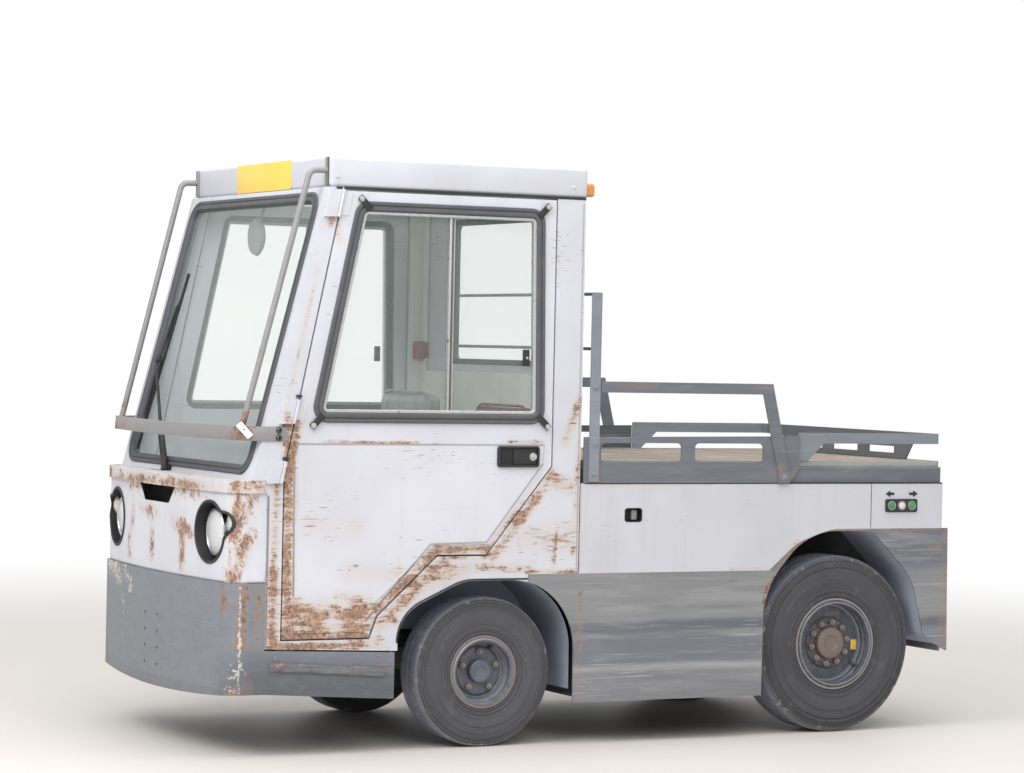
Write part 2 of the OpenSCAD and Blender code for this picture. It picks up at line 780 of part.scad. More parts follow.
// Floor, front bulkhead and seat box
module cab_floor() at_axle() color("gray") {
    inner = half_w - wall;
    low = floor_top - sheet;
    riser_y = -footwell_back - sheet;
    box_at([-inner, bulkhead_y, low], [inner, -footwell_back, floor_top]);
    box_at([-inner, bulkhead_y, low], [inner, bulkhead_y + sheet, lip_top - sheet]);
    box_at([-inner, riser_y, low], [inner, -footwell_back, seat_box_top]);
    box_at([-inner, riser_y, seat_box_top - sheet], [inner, cab_back - wall, seat_box_top]);
}

// Dashboard with the steering column
wheel_at = [driver_x, -steering_y, steering_z];
module dashboard() at_axle() color("dimgray") {
    front = bulkhead_y + sheet;
    side_plate(wall - half_w, half_w - wall) polygon([
        [front, seat_box_top], [front, lip_top + 8], [front + 216, lip_top - 21],
        [front + 236, lip_top - 81], [front + 136, seat_box_top]]);
    translate(wheel_at) rotate([-column_lean, 0, 0]) translate([0, 0, -300])
        cylinder(h = 300 - 34, r = 32);
}
module steering_wheel() at_axle() color("darkgray") {
    translate(wheel_at) rotate([-column_lean, 0, 0]) {
        rotate_extrude() translate([steering_r, 0]) circle(steering_grip);
        translate([0, 0, -33]) cylinder(h = 44, r = 40);
        for (a = [90, 210, 330]) rotate([0, 0, a])
            translate([30, -14, -8]) cube([steering_r - 37, 28, 12]);
    }
}

// Seats, as [side, station of the back's front face, leg length under the back]
seats = [[-1, 66, 110], [1, 176, 0]];
seat_legs = 300;
module seat_bases() at_axle() color("black") {
    for (s = seats) translate([s[0] * driver_x, 0, seat_box_top]) {
        box_at([-seat_base_w / 2, -seat_base_d, 0], [seat_base_w / 2, 0, seat_base_h]);
        translate([0, s[1] + back_t + rest, 0])
            box_at([-160, 0, 0], [160, 18, seat_legs]);
    }
}
module seat_cushions() at_axle() color("maroon") {
    length = 360;
    for (s = seats) translate([s[0] * driver_x, s[1] - 10 - length / 2, seat_box_top + seat_base_h + rest])
        linear_extrude(cushion_t) round_rect(seat_w, length, 70);
}
module seat_backs() at_axle() color("maroon") {
    for (s = seats)
        translate([s[0] * driver_x, s[1] + back_t, seat_box_top + seat_base_h + cushion_t + 30 + s[2] / 3])
            rotate([90, 0, 0]) linear_extrude(back_t)
                translate([0, back_h / 2]) round_rect(seat_w - 20, back_h, 80);
}

// One door with its window opening, hinge leaves and raised panel
module door_shell_part() color(white) {
    difference() {
        union() {
            side_plate(half_w - door_t, half_w) polygon(door_outline);
            side_plate(half_w - 1, half_w + panel_t) polygon(panel_outline);
        }
        side_plate(half_w - door_t - 1, half_w + 1) rounded(shrink(door_window, gasket_lap));
    }
    for (h = door_hinges) {
        low = h[0] - h[1] / 2;
        high = h[0] + h[1] / 2;
        barrel_x = half_w + hinge_out;
        rod([barrel_x, hinge_y(low), low], [barrel_x, hinge_y(high), high], barrel_r);
        // leaf on the door's face, joined to the barrel
        side_plate(half_w, half_w + 4) polygon([
            [hinge_y(low + 6) + 2, low + 6], [hinge_y(high - 6) + 2, high - 6],
            [hinge_y(high - 6) + hinge_out + 30, high - 6], [hinge_y(low + 6) + hinge_out + 30, low + 6]]);
    }
}
module pane_post_outline() {
    translate([-pane_post, window_bottom]) square([pane_post_w, window_top - window_bottom]);
}
module door_seal_part() color("black") {
    glass_line = shrink(door_window, gasket);
    side_plate(half_w, half_w + gasket_t) difference() {
        rounded(door_window);
        rounded(glass_line);
    }
    side_plate(half_w - 28, half_w) difference() {
        rounded(shrink(door_window, gasket_lap));
        rounded(glass_line);
    }
    side_plate(half_w - 28, half_w + 3) intersection() {
        pane_post_outline();
        rounded(shrink(door_window, gasket - 1));
    }
}
module door_glass_part() color("lightblue", 0.4) {
    side_plate(half_w - pane_depth - glass_t, half_w - pane_depth) difference() {
        rounded(shrink(door_window, gasket));
        pane_post_outline();
    }
}
// Paddle latch outside and pull lever inside
module door_latch_part() color("black") {
    back = door_rear - 53;
    top = panel_top - 3;
    side_plate(half_w + panel_t, half_w + panel_t + 11)
        translate([back - latch_w / 2, top - latch_h / 2]) round_rect(latch_w, latch_h, 10);
    side_plate(half_w - door_t - 22, half_w - door_t) translate([back - 109, panel_top - 18])
        square([90, 34]);
}
module door_left_shell() at_axle() door_shell_part();
module door_left_seal() at_axle() door_seal_part();
module door_left_glass() at_axle() door_glass_part();
module door_left_latch() at_axle() door_latch_part();
module door_right_shell() at_axle() mirror([1, 0, 0]) door_shell_part();
module door_right_seal() at_axle() mirror([1, 0, 0]) door_seal_part();
module door_right_glass() at_axle() mirror([1, 0, 0]) door_glass_part();
module door_right_latch() at_axle() mirror([1, 0, 0]) door_latch_part();

// Outline of a skirt with its rear fender, before the wheel arches are cut out
module skirt_outline() {
    foot_r = 18;
    rounded([[skirt_front, skirt_bottom, 0], [skirt_front, skirt_top, 0],
        each fender_line, [tip, fender_z, 0],
        [wheelbase + rear_arch[0][0], skirt_bottom, foot_r]]);
}

// White side panels of the rear body, with the plug recess
module side_panels() at_axle() color(white) {
    both_sides() side_plate(half_w - sheet, half_w) difference() {
        translate([cab_back, skirt_top]) square([body_back - cab_back, deck_bottom - skirt_top]);
        skirt_outline();
        translate([cab_back + 224, plug_z]) round_rect(plug_w, plug_h, 12);
    }
}

// Grey skirts between the wheels and the rear fenders
module side_skirts() at_axle() color(grey) {
    both_sides() side_plate(half_w - armour, half_w) difference() {
        skirt_outline();
        translate([wheelbase, 0]) rounded(rear_arch);
        rounded(front_arch);
    }
    // brackets from the tub to the skirts
    both_sides() for (y = [tub_front + 60, tub_back - 90])
        box_at([tub_x, y, 200], [half_w - armour, y + 40, 500]);
}

// Rear wall of the body with the rear bumper plate
plate_top = rear_rail_bottom + rear_rail_h;
module rear_panel() at_axle() color(white) {
    inner = half_w - armour;
    front_plate(body_back - sheet, body_back) translate([-inner, plate_top])
        square([2 * inner, deck_bottom - plate_top]);
}
module rear_bumper() at_axle() color(grey) {
    inner = half_w - armour;
    low = fender_z - 3;
    difference() {
        box_at([-inner, body_back, low], [inner, body_back + armour, fender_line[3][1]]);
        for (x = [-0.5, 0.5], z = [0, 1])
            translate([x * plate_hole_x, body_back + 50, low + 60 + z * plate_hole_z])
                rotate([90, 0, 0]) cylinder(h = 100, d = plate_hole_d);
    }
    box_at([-200, body_back - sheet, low], [200, body_back, plate_top]);
}

// Three-step coupling with its pin
pin_y = coupling_back - coupling_r;
module tow_coupling() at_axle() color("dimgray") {
    plate_y = body_back + armour;
    low = coupling_z - 16;
    high = coupling_z + 3 * coupling_step + coupling_head;
    difference() {
        union() {
            box_at([-80, plate_y, low], [80, plate_y + 16, high]);
            for (i = [0:3])
                translate([0, 0, coupling_z - coupling_t / 2 + i * coupling_step])
                    linear_extrude(coupling_t) {
                        translate([0, pin_y]) circle(coupling_r);
                        translate([-coupling_r, plate_y]) square([2 * coupling_r, pin_y - plate_y]);
                    }
        }
        translate([0, pin_y, low - 50]) cylinder(h = high - low + 100, d = tow_pin_d + 2 * run);
    }
}
module tow_pin() at_axle() color("silver") {
    foot = coupling_z - 26;
    top = coupling_z + coupling_t / 2 + 3 * coupling_step;
    ring_r = 22;
    translate([0, pin_y, 0]) {
        translate([0, 0, foot]) cylinder(h = top - foot, d = tow_pin_d);
        translate([0, 0, top]) cylinder(h = 14, d = tow_pin_d + 22);
        translate([0, 0, top + 14]) cylinder(h = 50, d = 12);
        translate([0, 0, top + 80]) rotate([90, 0, 0]) rotate_extrude()
            translate([ring_r, 0]) circle(5);
    }
}

// Edge moulding of the load deck with its bearers
module deck_frame() at_axle() color(grey) {
    length = deck_back - deck_front;
    ledge = deck_top - plank_t;
    difference() {
        translate([0, (deck_front + deck_back) / 2, 0]) {
            translate([0, 0, deck_bottom]) linear_extrude(ledge - deck_bottom)
                round_rect(deck_w, length, 40);
            translate([0, 0, ledge]) linear_extrude(plank_t)
                round_rect(deck_w - 16, length - 16, 34);
        }
        translate([0, (deck_front + deck_back) / 2, deck_bottom - 1]) {
            linear_extrude(deck_top)
                square([deck_w - 2 * moulding_w, length - 2 * moulding_w], center = true);
            translate([0, 0, ledge - deck_bottom + 1]) linear_extrude(deck_top)
                square([deck_w - moulding_w, length - moulding_w], center = true);
        }
    }
    for (i = [1:bearer_count]) {
        y = deck_front + i * length / (bearer_count + 1);
        box_at([10 - deck_w / 2 + beam_w, y, ledge - 50], [deck_w / 2 - beam_w - 10, y + 50, ledge]);
    }
}
module deck_planks() at_axle() color("tan") {
    half = (deck_w - moulding_w) / 2 - 1;
    first = deck_front + moulding_w / 2 + 1;
    last = deck_back - moulding_w / 2 - 1;
    pitch = plank_w + plank_gap;
    count = floor((last - first + plank_gap) / pitch);
    for (i = [0:count - 1]) {
        y = first + i * pitch;
        end = i == count - 1 ? last : y + plank_w;
        box_at([-half, y, deck_top - plank_t], [half, end, deck_top - 2]);
    }
}

// Side boards with their top rails
module board_slot_at(y0, y1) {
    low = deck_top - 7;
    high = board_top - 25;
    rounded([[y1, high, 16], [y0, high, 16], [y0, low, 16], [y1, low, 16]]);
}
rail_foot = 48;
module side_boards() at_axle() color(grey) {
    slot_y = deck_front + 67;
    both_sides() {
        side_plate(board_x, board_x + rail_t) difference() {
            polygon([[deck_front - 4, deck_bottom + 2], [board_back - 40, deck_bottom + 2],
                [board_back, deck_bottom + 55], [board_back, board_top + 4],
                [deck_front - 4, board_top - 4]]);
            board_slot_at(slot_y, slot_y + board_slot);
            board_slot_at(slot_y + board_slot + 58, board_back - 160);
        }
        side_plate(board_x + rail_t, board_x + 2 * rail_t) polygon([
            [deck_front + 59, rail_top], [board_back - 126, rail_top],
            [board_back - 49, deck_bottom + 45], [board_back - 49 - rail_foot, deck_bottom + 45],
            [board_back - 167, rail_top - bar_h], [deck_front + 59, rail_top - bar_h]]);
        side_plate(board_x + rail_t, board_x + 2 * rail_t + 4)
            translate([board_back - 46 - rail_foot, deck_bottom]) square([rail_foot - 2, 46]);
    }
}

// Headboard: two uprights and two rods behind the cab
module headboard() at_axle() color(grey) {
    front = deck_front + 15;
    rod_y = front + bar_h / 2;
    both_sides() side_plate(board_x + rail_t, board_x + 2 * rail_t)
        translate([front, deck_bottom + 7]) square([bar_h, headboard_top - deck_bottom - 7]);
    for (z = [headboard_top - rod_d / 2, lower_rod_z])
        rod([-board_x - rail_t, rod_y, z], [board_x + rail_t, rod_y, z], rod_d / 2);
}

// Low rail round the rear of the deck
module rear_rail() at_axle() color(grey) {
    under = low_rail_top - bar_h;
    start = board_back + 1;
    both_sides() {
        box_at([low_rail_x - rail_t, start, under], [low_rail_x, low_rail_back, low_rail_top]);
        side_plate(low_rail_x - rail_t, low_rail_x) polygon([
            [start, deck_top], [start + 42, deck_top], [start + 112, under],
            [start + 112, under + 20], [start, under + 20]]);
    }
    box_at([-low_rail_x, low_rail_back - rail_t, under],
        [low_rail_x, low_rail_back, low_rail_top]);
    foot_x = half_w - 220;
    front_plate(low_rail_back - rail_t, low_rail_back) difference() {
        polygon([[-foot_x, deck_top], [foot_x, deck_top],
            [foot_x + 50, under + 1], [-foot_x - 50, under + 1]]);
        for (x = [-260, 0, 260]) translate([x, deck_top + 34]) square([180, 26], center = true);
    }
}

// Lamps: amber lamps behind the roof, tail lamps and side inching buttons
button_pitch = 46;
module lamps() at_axle() color("orange") {
    roof_back = cab_back + roof_lap;
    tail_low = fender_line[3][1] + 26;
    tail_high = deck_bottom - 48;
    button_y = body_back - 191;
    button_z = plug_z + 30;
    both_sides() {
        box_at([half_w - 95, roof_back, roof_bottom + 5], [half_w - 50, roof_back + 58, roof_bottom + 61]);
        box_at([half_w - 170, body_back, tail_low], [half_w - 50, body_back + 22, tail_high]);
        side_plate(half_w, half_w + 5) translate([button_y, button_z]) square([145, 50], center = true);
        for (i = [-1:1]) translate([half_w, button_y + i * button_pitch, button_z])
            rotate([0, 90, 0]) cylinder(h = 9, d = 36);
    }
}

// Housings over the wheels
housing_x = half_w - 362;
module wheel_housings() at_axle() color(dark) {
    open_z = 200;
    both_sides() {
        side_plate(housing_x, half_w - wall) difference() {
            rounded(shrink(front_arch, -sheet));
            rounded(front_arch);
            translate([-500, -10]) square([1000, open_z + 10]);
        }
        side_plate(housing_x - sheet, housing_x) intersection() {
            rounded(shrink(front_arch, -sheet));
            translate([-500, 2 * open_z]) square([1000, 500]);
        }
        translate([0, wheelbase, 0])
            side_plate(rear_wheel_x - rear_tyre_w / 2 - 33, half_w - armour) difference() {
                rounded(shrink(rear_arch, -sheet));
                rounded(rear_arch);
                translate([-500, -10]) square([1100, open_z + 130]);
                translate([rear_overhang - 59, -10]) square([200, 1100]);
            }
    }
}

// Front axle with its yokes and spring blocks
module front_axle() at_axle() color(dark) {
    yoke_r = 35;
    beam_x = kingpin_x - yoke_reach;
    axle_half = 33;
    difference() {
        union() {
            box_at([-beam_x, -axle_half, front_r - 55], [beam_x, axle_half, front_r + 55]);
            both_sides() {
                box_at([beam_x - 50, -axle_half, front_r - yoke_gap - yoke_t],
                    [beam_x, axle_half, front_r + yoke_gap + yoke_t]);
                for (z = [-yoke_gap - yoke_t, yoke_gap])
                    translate([0, 0, front_r + z]) linear_extrude(yoke_t) {
                        translate([kingpin_x, 0]) circle(yoke_r);
                        translate([beam_x - 5, -yoke_r]) square([50, 2 * yoke_r]);
                    }
                // spring block under the frame rail
                box_at([rail_x, -40, front_r + 50], [rail_x + rail_w, 40, rail_bottom]);
            }
        }
        both_sides() translate([kingpin_x, 0, arch_foot])
            cylinder(h = front_tyre_d, r = kingpin_r + run);
    }
}

// One steered knuckle: kingpin, body and wheel spindle
module knuckle_part() color("gray") {
    half = yoke_gap - rest;
    translate([kingpin_x, 0, front_r]) {
        translate([0, 0, -half]) cylinder(h = 2 * half, r = 34);
        translate([0, 0, -yoke_gap - yoke_t]) cylinder(h = 2 * (yoke_gap + yoke_t), r = kingpin_r);
        rotate([0, 90, 0]) cylinder(h = kingpin_in + 40, r = spindle_r);
        translate([20, 0, 0]) rotate([0, 90, 0]) cylinder(h = 22, r = spindle_r + 20);
        // steering arm, pointing back
        box_at([-12, 20, -40], [12, 120, -22]);
    }
}
module knuckle_left() at_axle() knuckle_part();
module knuckle_right() at_axle() mirror([1, 0, 0]) knuckle_part();

// Rear axle with its two wheel motors
rear_spindle_r = spindle_r + 10;
module drive_axle() at_axle() color(dark) {
    tube_half = rear_wheel_x - rear_tyre_w / 2 - motor_gap;
    translate([0, wheelbase, rear_r]) {
        rotate([0, 90, 0]) cylinder(h = 2 * tube_half, d = axle_tube_d, center = true);
        rotate([0, 90, 0]) cylinder(h = 2 * (rear_wheel_x + 50), r = rear_spindle_r, center = true);
        both_sides() box_at([rail_x, -60, 60], [rail_x + rail_w, 60, rear_rail_bottom - rear_r]);
        box_at([-150, -130, -110], [150, 130, 100]);
    }
}

// Tyre about the X axis, its middle at the origin
module tyre(d, w, rim_d) {
    r = d / 2;
    h = r - rim_d / 2;
    // half of the section, as [radius, sideways place]
    section = [
        [rim_d / 2, w * 0.36], [rim_d / 2 + h * 0.18, w * 0.44], [rim_d / 2 + h * 0.5, w / 2],
        [r - h * 0.22, w * 0.47], [r - h * 0.06, w * 0.41], [r, w * 0.3]];
    n = len(section);
    rotate([0, 90, 0]) rotate_extrude($fn = 96) polygon([
        for (i = [0:n - 1]) [section[i][0], -section[i][1]],
        for (i = [0:n - 1]) section[n - 1 - i]]);
}
// Rim about the X axis with its disc towards +X, hub bore and bolts
module rim(rim_d, w, bore_r, hub_r, disc_at, bolt_count, bolt_pcd) {
    r = rim_d / 2;
    flange = 12;
    difference() {
        union() {
            rotate([0, 90, 0]) rotate_extrude($fn = 96) polygon([
                [r - 8, -w * 0.44], [r + flange, -w * 0.44], [r + flange, -w * 0.405],
                [r, -w * 0.405], [r, w * 0.405], [r + flange, w * 0.405],
                [r + flange, w * 0.44], [r - 8, w * 0.44]]);
            translate([disc_at, 0, 0]) rotate([0, 90, 0]) cylinder(h = disc_t, r = r - 4);
            translate([disc_at - 30, 0, 0]) rotate([0, 90, 0]) cylinder(h = 70, r = hub_r);
            for (i = [0:bolt_count - 1]) rotate([i * 360 / bolt_count, 0, 0])
                translate([disc_at, 0, bolt_pcd / 2]) rotate([0, 90, 0])
                    cylinder(h = disc_t + 14, r = 11, $fn = 6);
        }
        translate([disc_at - 31, 0, 0]) rotate([0, 90, 0]) cylinder(h = 56, r = bore_r + run);
    }
}
module front_wheel_place(side) {
    translate([side * front_wheel_x, 0, front_r]) mirror([side < 0 ? 1 : 0, 0, 0]) children();
}
module rear_wheel_place(side) {
    translate([side * rear_wheel_x, wheelbase, rear_r])
        mirror([side < 0 ? 1 : 0, 0, 0]) children();
}
module front_rim_part() color("gray") rim(front_rim_d, front_tyre_w, spindle_r, 50, 15, 5, 140);
module rear_rim_part() color("gray") rim(rear_rim_d, rear_tyre_w, rear_spindle_r, 62, 25, 10, 185);
module front_tyre_part() color("black") tyre(front_tyre_d, front_tyre_w, front_rim_d);
module rear_tyre_part() color("black") tyre(rear_tyre_d, rear_tyre_w, rear_rim_d);
module front_left_rim() at_axle() front_wheel_place(1) front_rim_part();
module front_left_tyre() at_axle() front_wheel_place(1) front_tyre_part();
module front_right_rim() at_axle() front_wheel_place(-1) front_rim_part();
module front_right_tyre() at_axle() front_wheel_place(-1) front_tyre_part();
module rear_left_rim() at_axle() rear_wheel_place(1) rear_rim_part();
module rear_left_tyre() at_axle() rear_wheel_place(1) rear_tyre_part();
module rear_right_rim() at_axle() rear_wheel_place(-1) rear_rim_part();
module rear_right_tyre() at_axle() rear_wheel_place(-1) rear_tyre_part();

chassis();
battery();
front_bumper();
nose_panel();
headlamps();
cowl();
cab_shell();
cab_seals();
cab_glass();
roof();
windscreen_guard();
wipers();
cab_floor();
dashboard();
steering_wheel();
seat_bases();
seat_cushions();
seat_backs();
door_left_shell();
door_left_seal();
door_left_glass();
door_left_latch();
door_right_shell();
door_right_seal();
door_right_glass();
door_right_latch();
side_panels();
side_skirts();
rear_panel();
rear_bumper();
tow_coupling();
tow_pin();
deck_frame();
deck_planks();
side_boards();
headboard();
rear_rail();
lamps();
wheel_housings();
front_axle();
knuckle_left();
knuckle_right();
drive_axle();
front_left_rim();
front_left_tyre();
front_right_rim();
front_right_tyre();
rear_left_rim();
rear_left_tyre();
rear_right_rim();
rear_right_tyre();
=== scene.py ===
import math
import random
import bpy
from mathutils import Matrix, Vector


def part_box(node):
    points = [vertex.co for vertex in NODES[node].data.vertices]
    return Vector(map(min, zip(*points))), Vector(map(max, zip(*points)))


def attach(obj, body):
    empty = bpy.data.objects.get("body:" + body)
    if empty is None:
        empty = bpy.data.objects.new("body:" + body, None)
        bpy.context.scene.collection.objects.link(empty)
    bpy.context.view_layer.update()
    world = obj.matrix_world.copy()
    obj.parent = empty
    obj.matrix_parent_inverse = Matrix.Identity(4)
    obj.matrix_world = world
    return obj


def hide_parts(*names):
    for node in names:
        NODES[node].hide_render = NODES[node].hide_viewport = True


bl_info = {
    "name": "Airport baggage tug",
    "version": (1, 0, 0),
    "blender": (4, 5, 0),
    "location": "3D View > Sidebar > Tug",
    "description": "Dresses the baggage tug: worn paint, rubber, glass, wheels, rails, lamps, cab fittings",
    "category": "Add Mesh",
}

import bmesh
import bpy
from mathutils import Matrix, Vector

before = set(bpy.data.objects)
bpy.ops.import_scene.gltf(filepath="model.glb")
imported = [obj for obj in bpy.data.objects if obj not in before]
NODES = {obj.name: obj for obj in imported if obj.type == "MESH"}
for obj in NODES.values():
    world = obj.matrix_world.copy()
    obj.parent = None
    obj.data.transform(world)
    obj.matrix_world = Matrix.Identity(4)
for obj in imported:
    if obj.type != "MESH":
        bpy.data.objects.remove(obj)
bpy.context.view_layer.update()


def node_box(node):
    """Lowest and highest corner of a CAD node, as vectors."""
    low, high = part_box(node)
    return Vector(low), Vector(high)


def middle(node):
    low, high = node_box(node)
    return (low + high) / 2


MM = 0.001
front_low, front_high = node_box("front_left_tyre")
rear_low, rear_high = node_box("rear_left_tyre")
roof_low, roof_high = node_box("roof")
deck_low, deck_high = node_box("deck_planks")
FRONT_AXLE = (front_low.y + front_high.y) / 2
REAR_AXLE = (rear_low.y + rear_high.y) / 2
FRONT_RADIUS = (front_high.z - front_low.z) / 2
REAR_RADIUS = (rear_high.z - rear_low.z) / 2
BODY_SIDE = node_box("side_panels")[1].x / MM
ROOF_BOTTOM = roof_low.z / MM
ROOF_TOP = roof_high.z / MM
# Places in millimetres, with stations counted from the front axle; the planks' pitch is in metres
SCREEN_TILT = math.radians(14.5)
SCREEN_FOOT = (-933, 961)
COLUMN_TILT = math.radians(32)
PLANK_PITCH = 0.192
CAB_BACK = 353
RIM_RADIUS = {"front": 120, "rear": 162}
BODY_BACK = 1943
LATCH_HEIGHT = 1047
LOOKS = {}


def tone(red, green, blue):
    """Linear colour of a paint given as it looks on screen, each part from 0 to 255."""
    parts = [part / 255 for part in (red, green, blue)]
    return tuple(((part + 0.055) / 1.055) ** 2.4 for part in parts) + (1.0,)


# Sizes and colours that a user would change

def length(name, description, default):
    return bpy.props.FloatProperty(
        name=name, description=description, default=default, min=0.0, unit="LENGTH", subtype="DISTANCE")


def colour(name, description, red, green, blue):
    return bpy.props.FloatVectorProperty(
        name=name, description=description, size=4, min=0.0, max=1.0, subtype="COLOR",
        default=tone(red, green, blue))


class TugSizes(bpy.types.PropertyGroup):
    """Sizes of the pieces that dress the tug"""
    roof_edge: length("Roof edge", "Radius of the roof's rounded edges", 0.014)
    gasket_width: length("Gasket width", "Width of the window rubbers", 0.036)
    gasket_height: length("Gasket height", "How far the window rubbers stand out", 0.009)
    pane_frame: length("Pane frame", "Width of the bright frame round a door's panes", 0.012)
    clip_length: length("Clip length", "Length of the clips over the window corners", 0.062)
    guard_tube: length("Guard tube", "Radius of the windscreen guard's tubes", 0.011)
    plank_edge: length("Plank edge", "Rounding of the planks' edges", 0.004)
    piping: length("Piping", "Radius of the piping round the seats", 0.005)
    pad_cap: length("Pad swell", "Most that a seat's cover moves when it fills", 0.010)
    tread_groove: length("Tread groove", "Depth of the grooves in the tyres", 0.005)


class TugColours(bpy.types.PropertyGroup):
    """Colours of the finishes"""
    body: colour("Body paint", "Pale grey of the cab, the nose and the side panels", 210, 212, 220)
    skirt: colour("Skirt paint", "Blue-grey of the bumper, the skirts and the fenders", 124, 128, 136)
    rail: colour("Rail paint", "Blue-grey of the deck's edge and rails", 128, 133, 142)
    rust: colour("Rust", "Rust where the paint has gone", 150, 120, 104)
    rubber: colour("Rubber", "Rubber of the gaskets", 82, 83, 88)
    tyre: colour("Tyre", "Dusty rubber of the tyres", 79, 79, 83)
    rim: colour("Rim", "Blue-grey paint of the rims", 100, 104, 115)
    seat: colour("Seat", "Vinyl of the driver's seat", 104, 44, 52)
    far_seat: colour("Second seat", "Vinyl of the other seat", 150, 156, 155)
    wood: colour("Wood", "Weathered wood of the deck", 158, 148, 134)
    glass: colour("Glass", "Hazy green-tinted glass of the cab", 208, 226, 220)
    plate: colour("Plate", "Blank plate on the roof's front", 244, 204, 92)


# Modelling, as by hand

def clear():
    bpy.ops.object.select_all(action="DESELECT")


def pick(piece):
    clear()
    piece.select_set(True)
    bpy.context.view_layer.objects.active = piece


def settle(piece):
    """Applies a piece's place, so that its object sits at the origin."""
    pick(piece)
    bpy.ops.object.transform_apply(location=True, rotation=True, scale=True)
    return piece


def at(x, station, z):
    """Point from millimetres, with the station counted from the front axle."""
    return Vector((x * MM, FRONT_AXLE + station * MM, z * MM))


def modify(piece, kind, **settings):
    """Adds one modifier, sets it and applies it."""
    pick(piece)
    bpy.ops.object.modifier_add(type=kind)
    step = piece.modifiers[-1]
    for key, value in settings.items():
        setattr(step, key, value)
    bpy.ops.object.modifier_apply(modifier=step.name)
    return piece


def bevel(piece, width, segments=2, angle=30):
    return modify(piece, "BEVEL", width=width, segments=segments,
                  limit_method="ANGLE", angle_limit=math.radians(angle))


def smooth(piece, angle=32):
    pick(piece)
    bpy.ops.object.shade_smooth_by_angle(angle=math.radians(angle))
    return piece


def block(low, high, edge=0.0, segments=2):
    """Box between two corners with rounded edges."""
    clear()
    bpy.ops.mesh.primitive_cube_add(size=1, location=(low + high) / 2)
    piece = bpy.context.object
    piece.scale = [abs(a) for a in high - low]
    settle(piece)
    if edge:
        bevel(piece, edge, segments)
    return piece


def slab(low, high, edge=0.0, segments=2):
    """Block between two corners in millimetres, with stations counted from the front axle."""
    return block(at(*low), at(*high), edge, segments)


def bar(start, end, radius, vertices=24, edge=0.0):
    """Round bar between two points."""
    clear()
    line = end - start
    bpy.ops.mesh.primitive_cylinder_add(
        vertices=vertices, radius=radius, depth=line.length, location=(start + end) / 2,
        rotation=line.to_track_quat("Z", "Y").to_euler())
    piece = settle(bpy.context.object)
    if edge:
        bevel(piece, edge, 2, 50)
    return piece


def edit(piece):
    """Opens a piece for editing and gives its mesh."""
    pick(piece)
    bpy.ops.object.mode_set(mode="EDIT")
    return bmesh.from_edit_mesh(piece.data)


def close_edit(outward=True):
    bpy.ops.mesh.select_all(action="SELECT")
    bpy.ops.mesh.remove_doubles(threshold=0.000005)
    if outward:
        bpy.ops.mesh.normals_make_consistent(inside=False)
    bpy.ops.object.mode_set(mode="OBJECT")


def ring_of(points):
    """Closed ring of vertices at the given points, left open for editing."""
    clear()
    bpy.ops.mesh.primitive_circle_add(vertices=len(points), radius=1)
    piece = bpy.context.object
    mesh = edit(piece)
    mesh.verts.ensure_lookup_table()
    for vertex, point in zip(mesh.verts, points):
        vertex.co = point
    bmesh.update_edit_mesh(piece.data)
    return piece


def lathe(profile, steps=64):
    """Turns a closed profile of (along, radius) in millimetres round the X axis."""
    piece = ring_of([(along * MM, 0, radius * MM) for along, radius in profile])
    bpy.ops.mesh.select_all(action="SELECT")
    bpy.ops.mesh.spin(steps=steps, angle=math.tau, center=(0, 0, 0), axis=(1, 0, 0))
    close_edit()
    return piece


def sweep(outline, profile, plane):
    """Carries a closed profile of (outward, up) in millimetres round a closed outline."""
    count = len(outline)
    lanes = []
    for out, up in profile + profile[:1]:
        lane = []
        for i, (a, b) in enumerate(outline):
            before, after = outline[i - 1], outline[(i + 1) % count]
            first = Vector((a - before[0], b - before[1])).normalized()
            second = Vector((after[0] - a, after[1] - b)).normalized()
            turn = (first + second).normalized()
            reach = out / max(turn.dot(first), 0.5)
            lane.append(plane(a + turn.y * reach, b - turn.x * reach, up))
        lanes.append(lane)
    piece = ring_of(lanes[0])
    mesh = bmesh.from_edit_mesh(piece.data)
    number = mesh.verts.layers.int.new("lane")
    for i, vertex in enumerate(mesh.verts):
        vertex[number] = i
    for lane in lanes[1:]:
        bmesh.update_edit_mesh(piece.data)
        bpy.ops.mesh.extrude_edges_move(TRANSFORM_OT_translate={"value": (0, 0, 0)})
        mesh = bmesh.from_edit_mesh(piece.data)
        number = mesh.verts.layers.int["lane"]
        for vertex in mesh.verts:
            if vertex.select:
                vertex.co = lane[vertex[number]]
    bmesh.update_edit_mesh(piece.data)
    close_edit()
    return piece


def rounded(corners, arc=7):
    """Outline with rounded corners, from (a, b, radius), turning left all the way round."""
    area = sum(p[0] * q[1] - q[0] * p[1] for p, q in zip(corners, corners[1:] + corners[:1]))
    if area < 0:
        corners = corners[::-1]
    points = []
    count = len(corners)
    for i, (a, b, radius) in enumerate(corners):
        here = Vector((a, b))
        back = (Vector(corners[i - 1][:2]) - here).normalized()
        ahead = (Vector(corners[(i + 1) % count][:2]) - here).normalized()
        half = back.angle(ahead) / 2
        if radius < 0.5 or half > 1.55:
            points.append((a, b))
            continue
        centre = here + (back + ahead).normalized() * radius / math.sin(half)
        start = here + back * radius / math.tan(half) - centre
        end = here + ahead * radius / math.tan(half) - centre
        sweep_angle = start.angle_signed(end)
        for k in range(arc + 1):
            point = start.copy()
            point.rotate(Matrix.Rotation(-sweep_angle * k / arc, 2))
            points.append(tuple(centre + point))
    return points


def rectangle(a0, a1, b0, b1, radius, arc=4):
    """Outline of a rectangle with rounded corners."""
    return rounded([(a0, b0, radius), (a1, b0, radius), (a1, b1, radius), (a0, b1, radius)], arc)


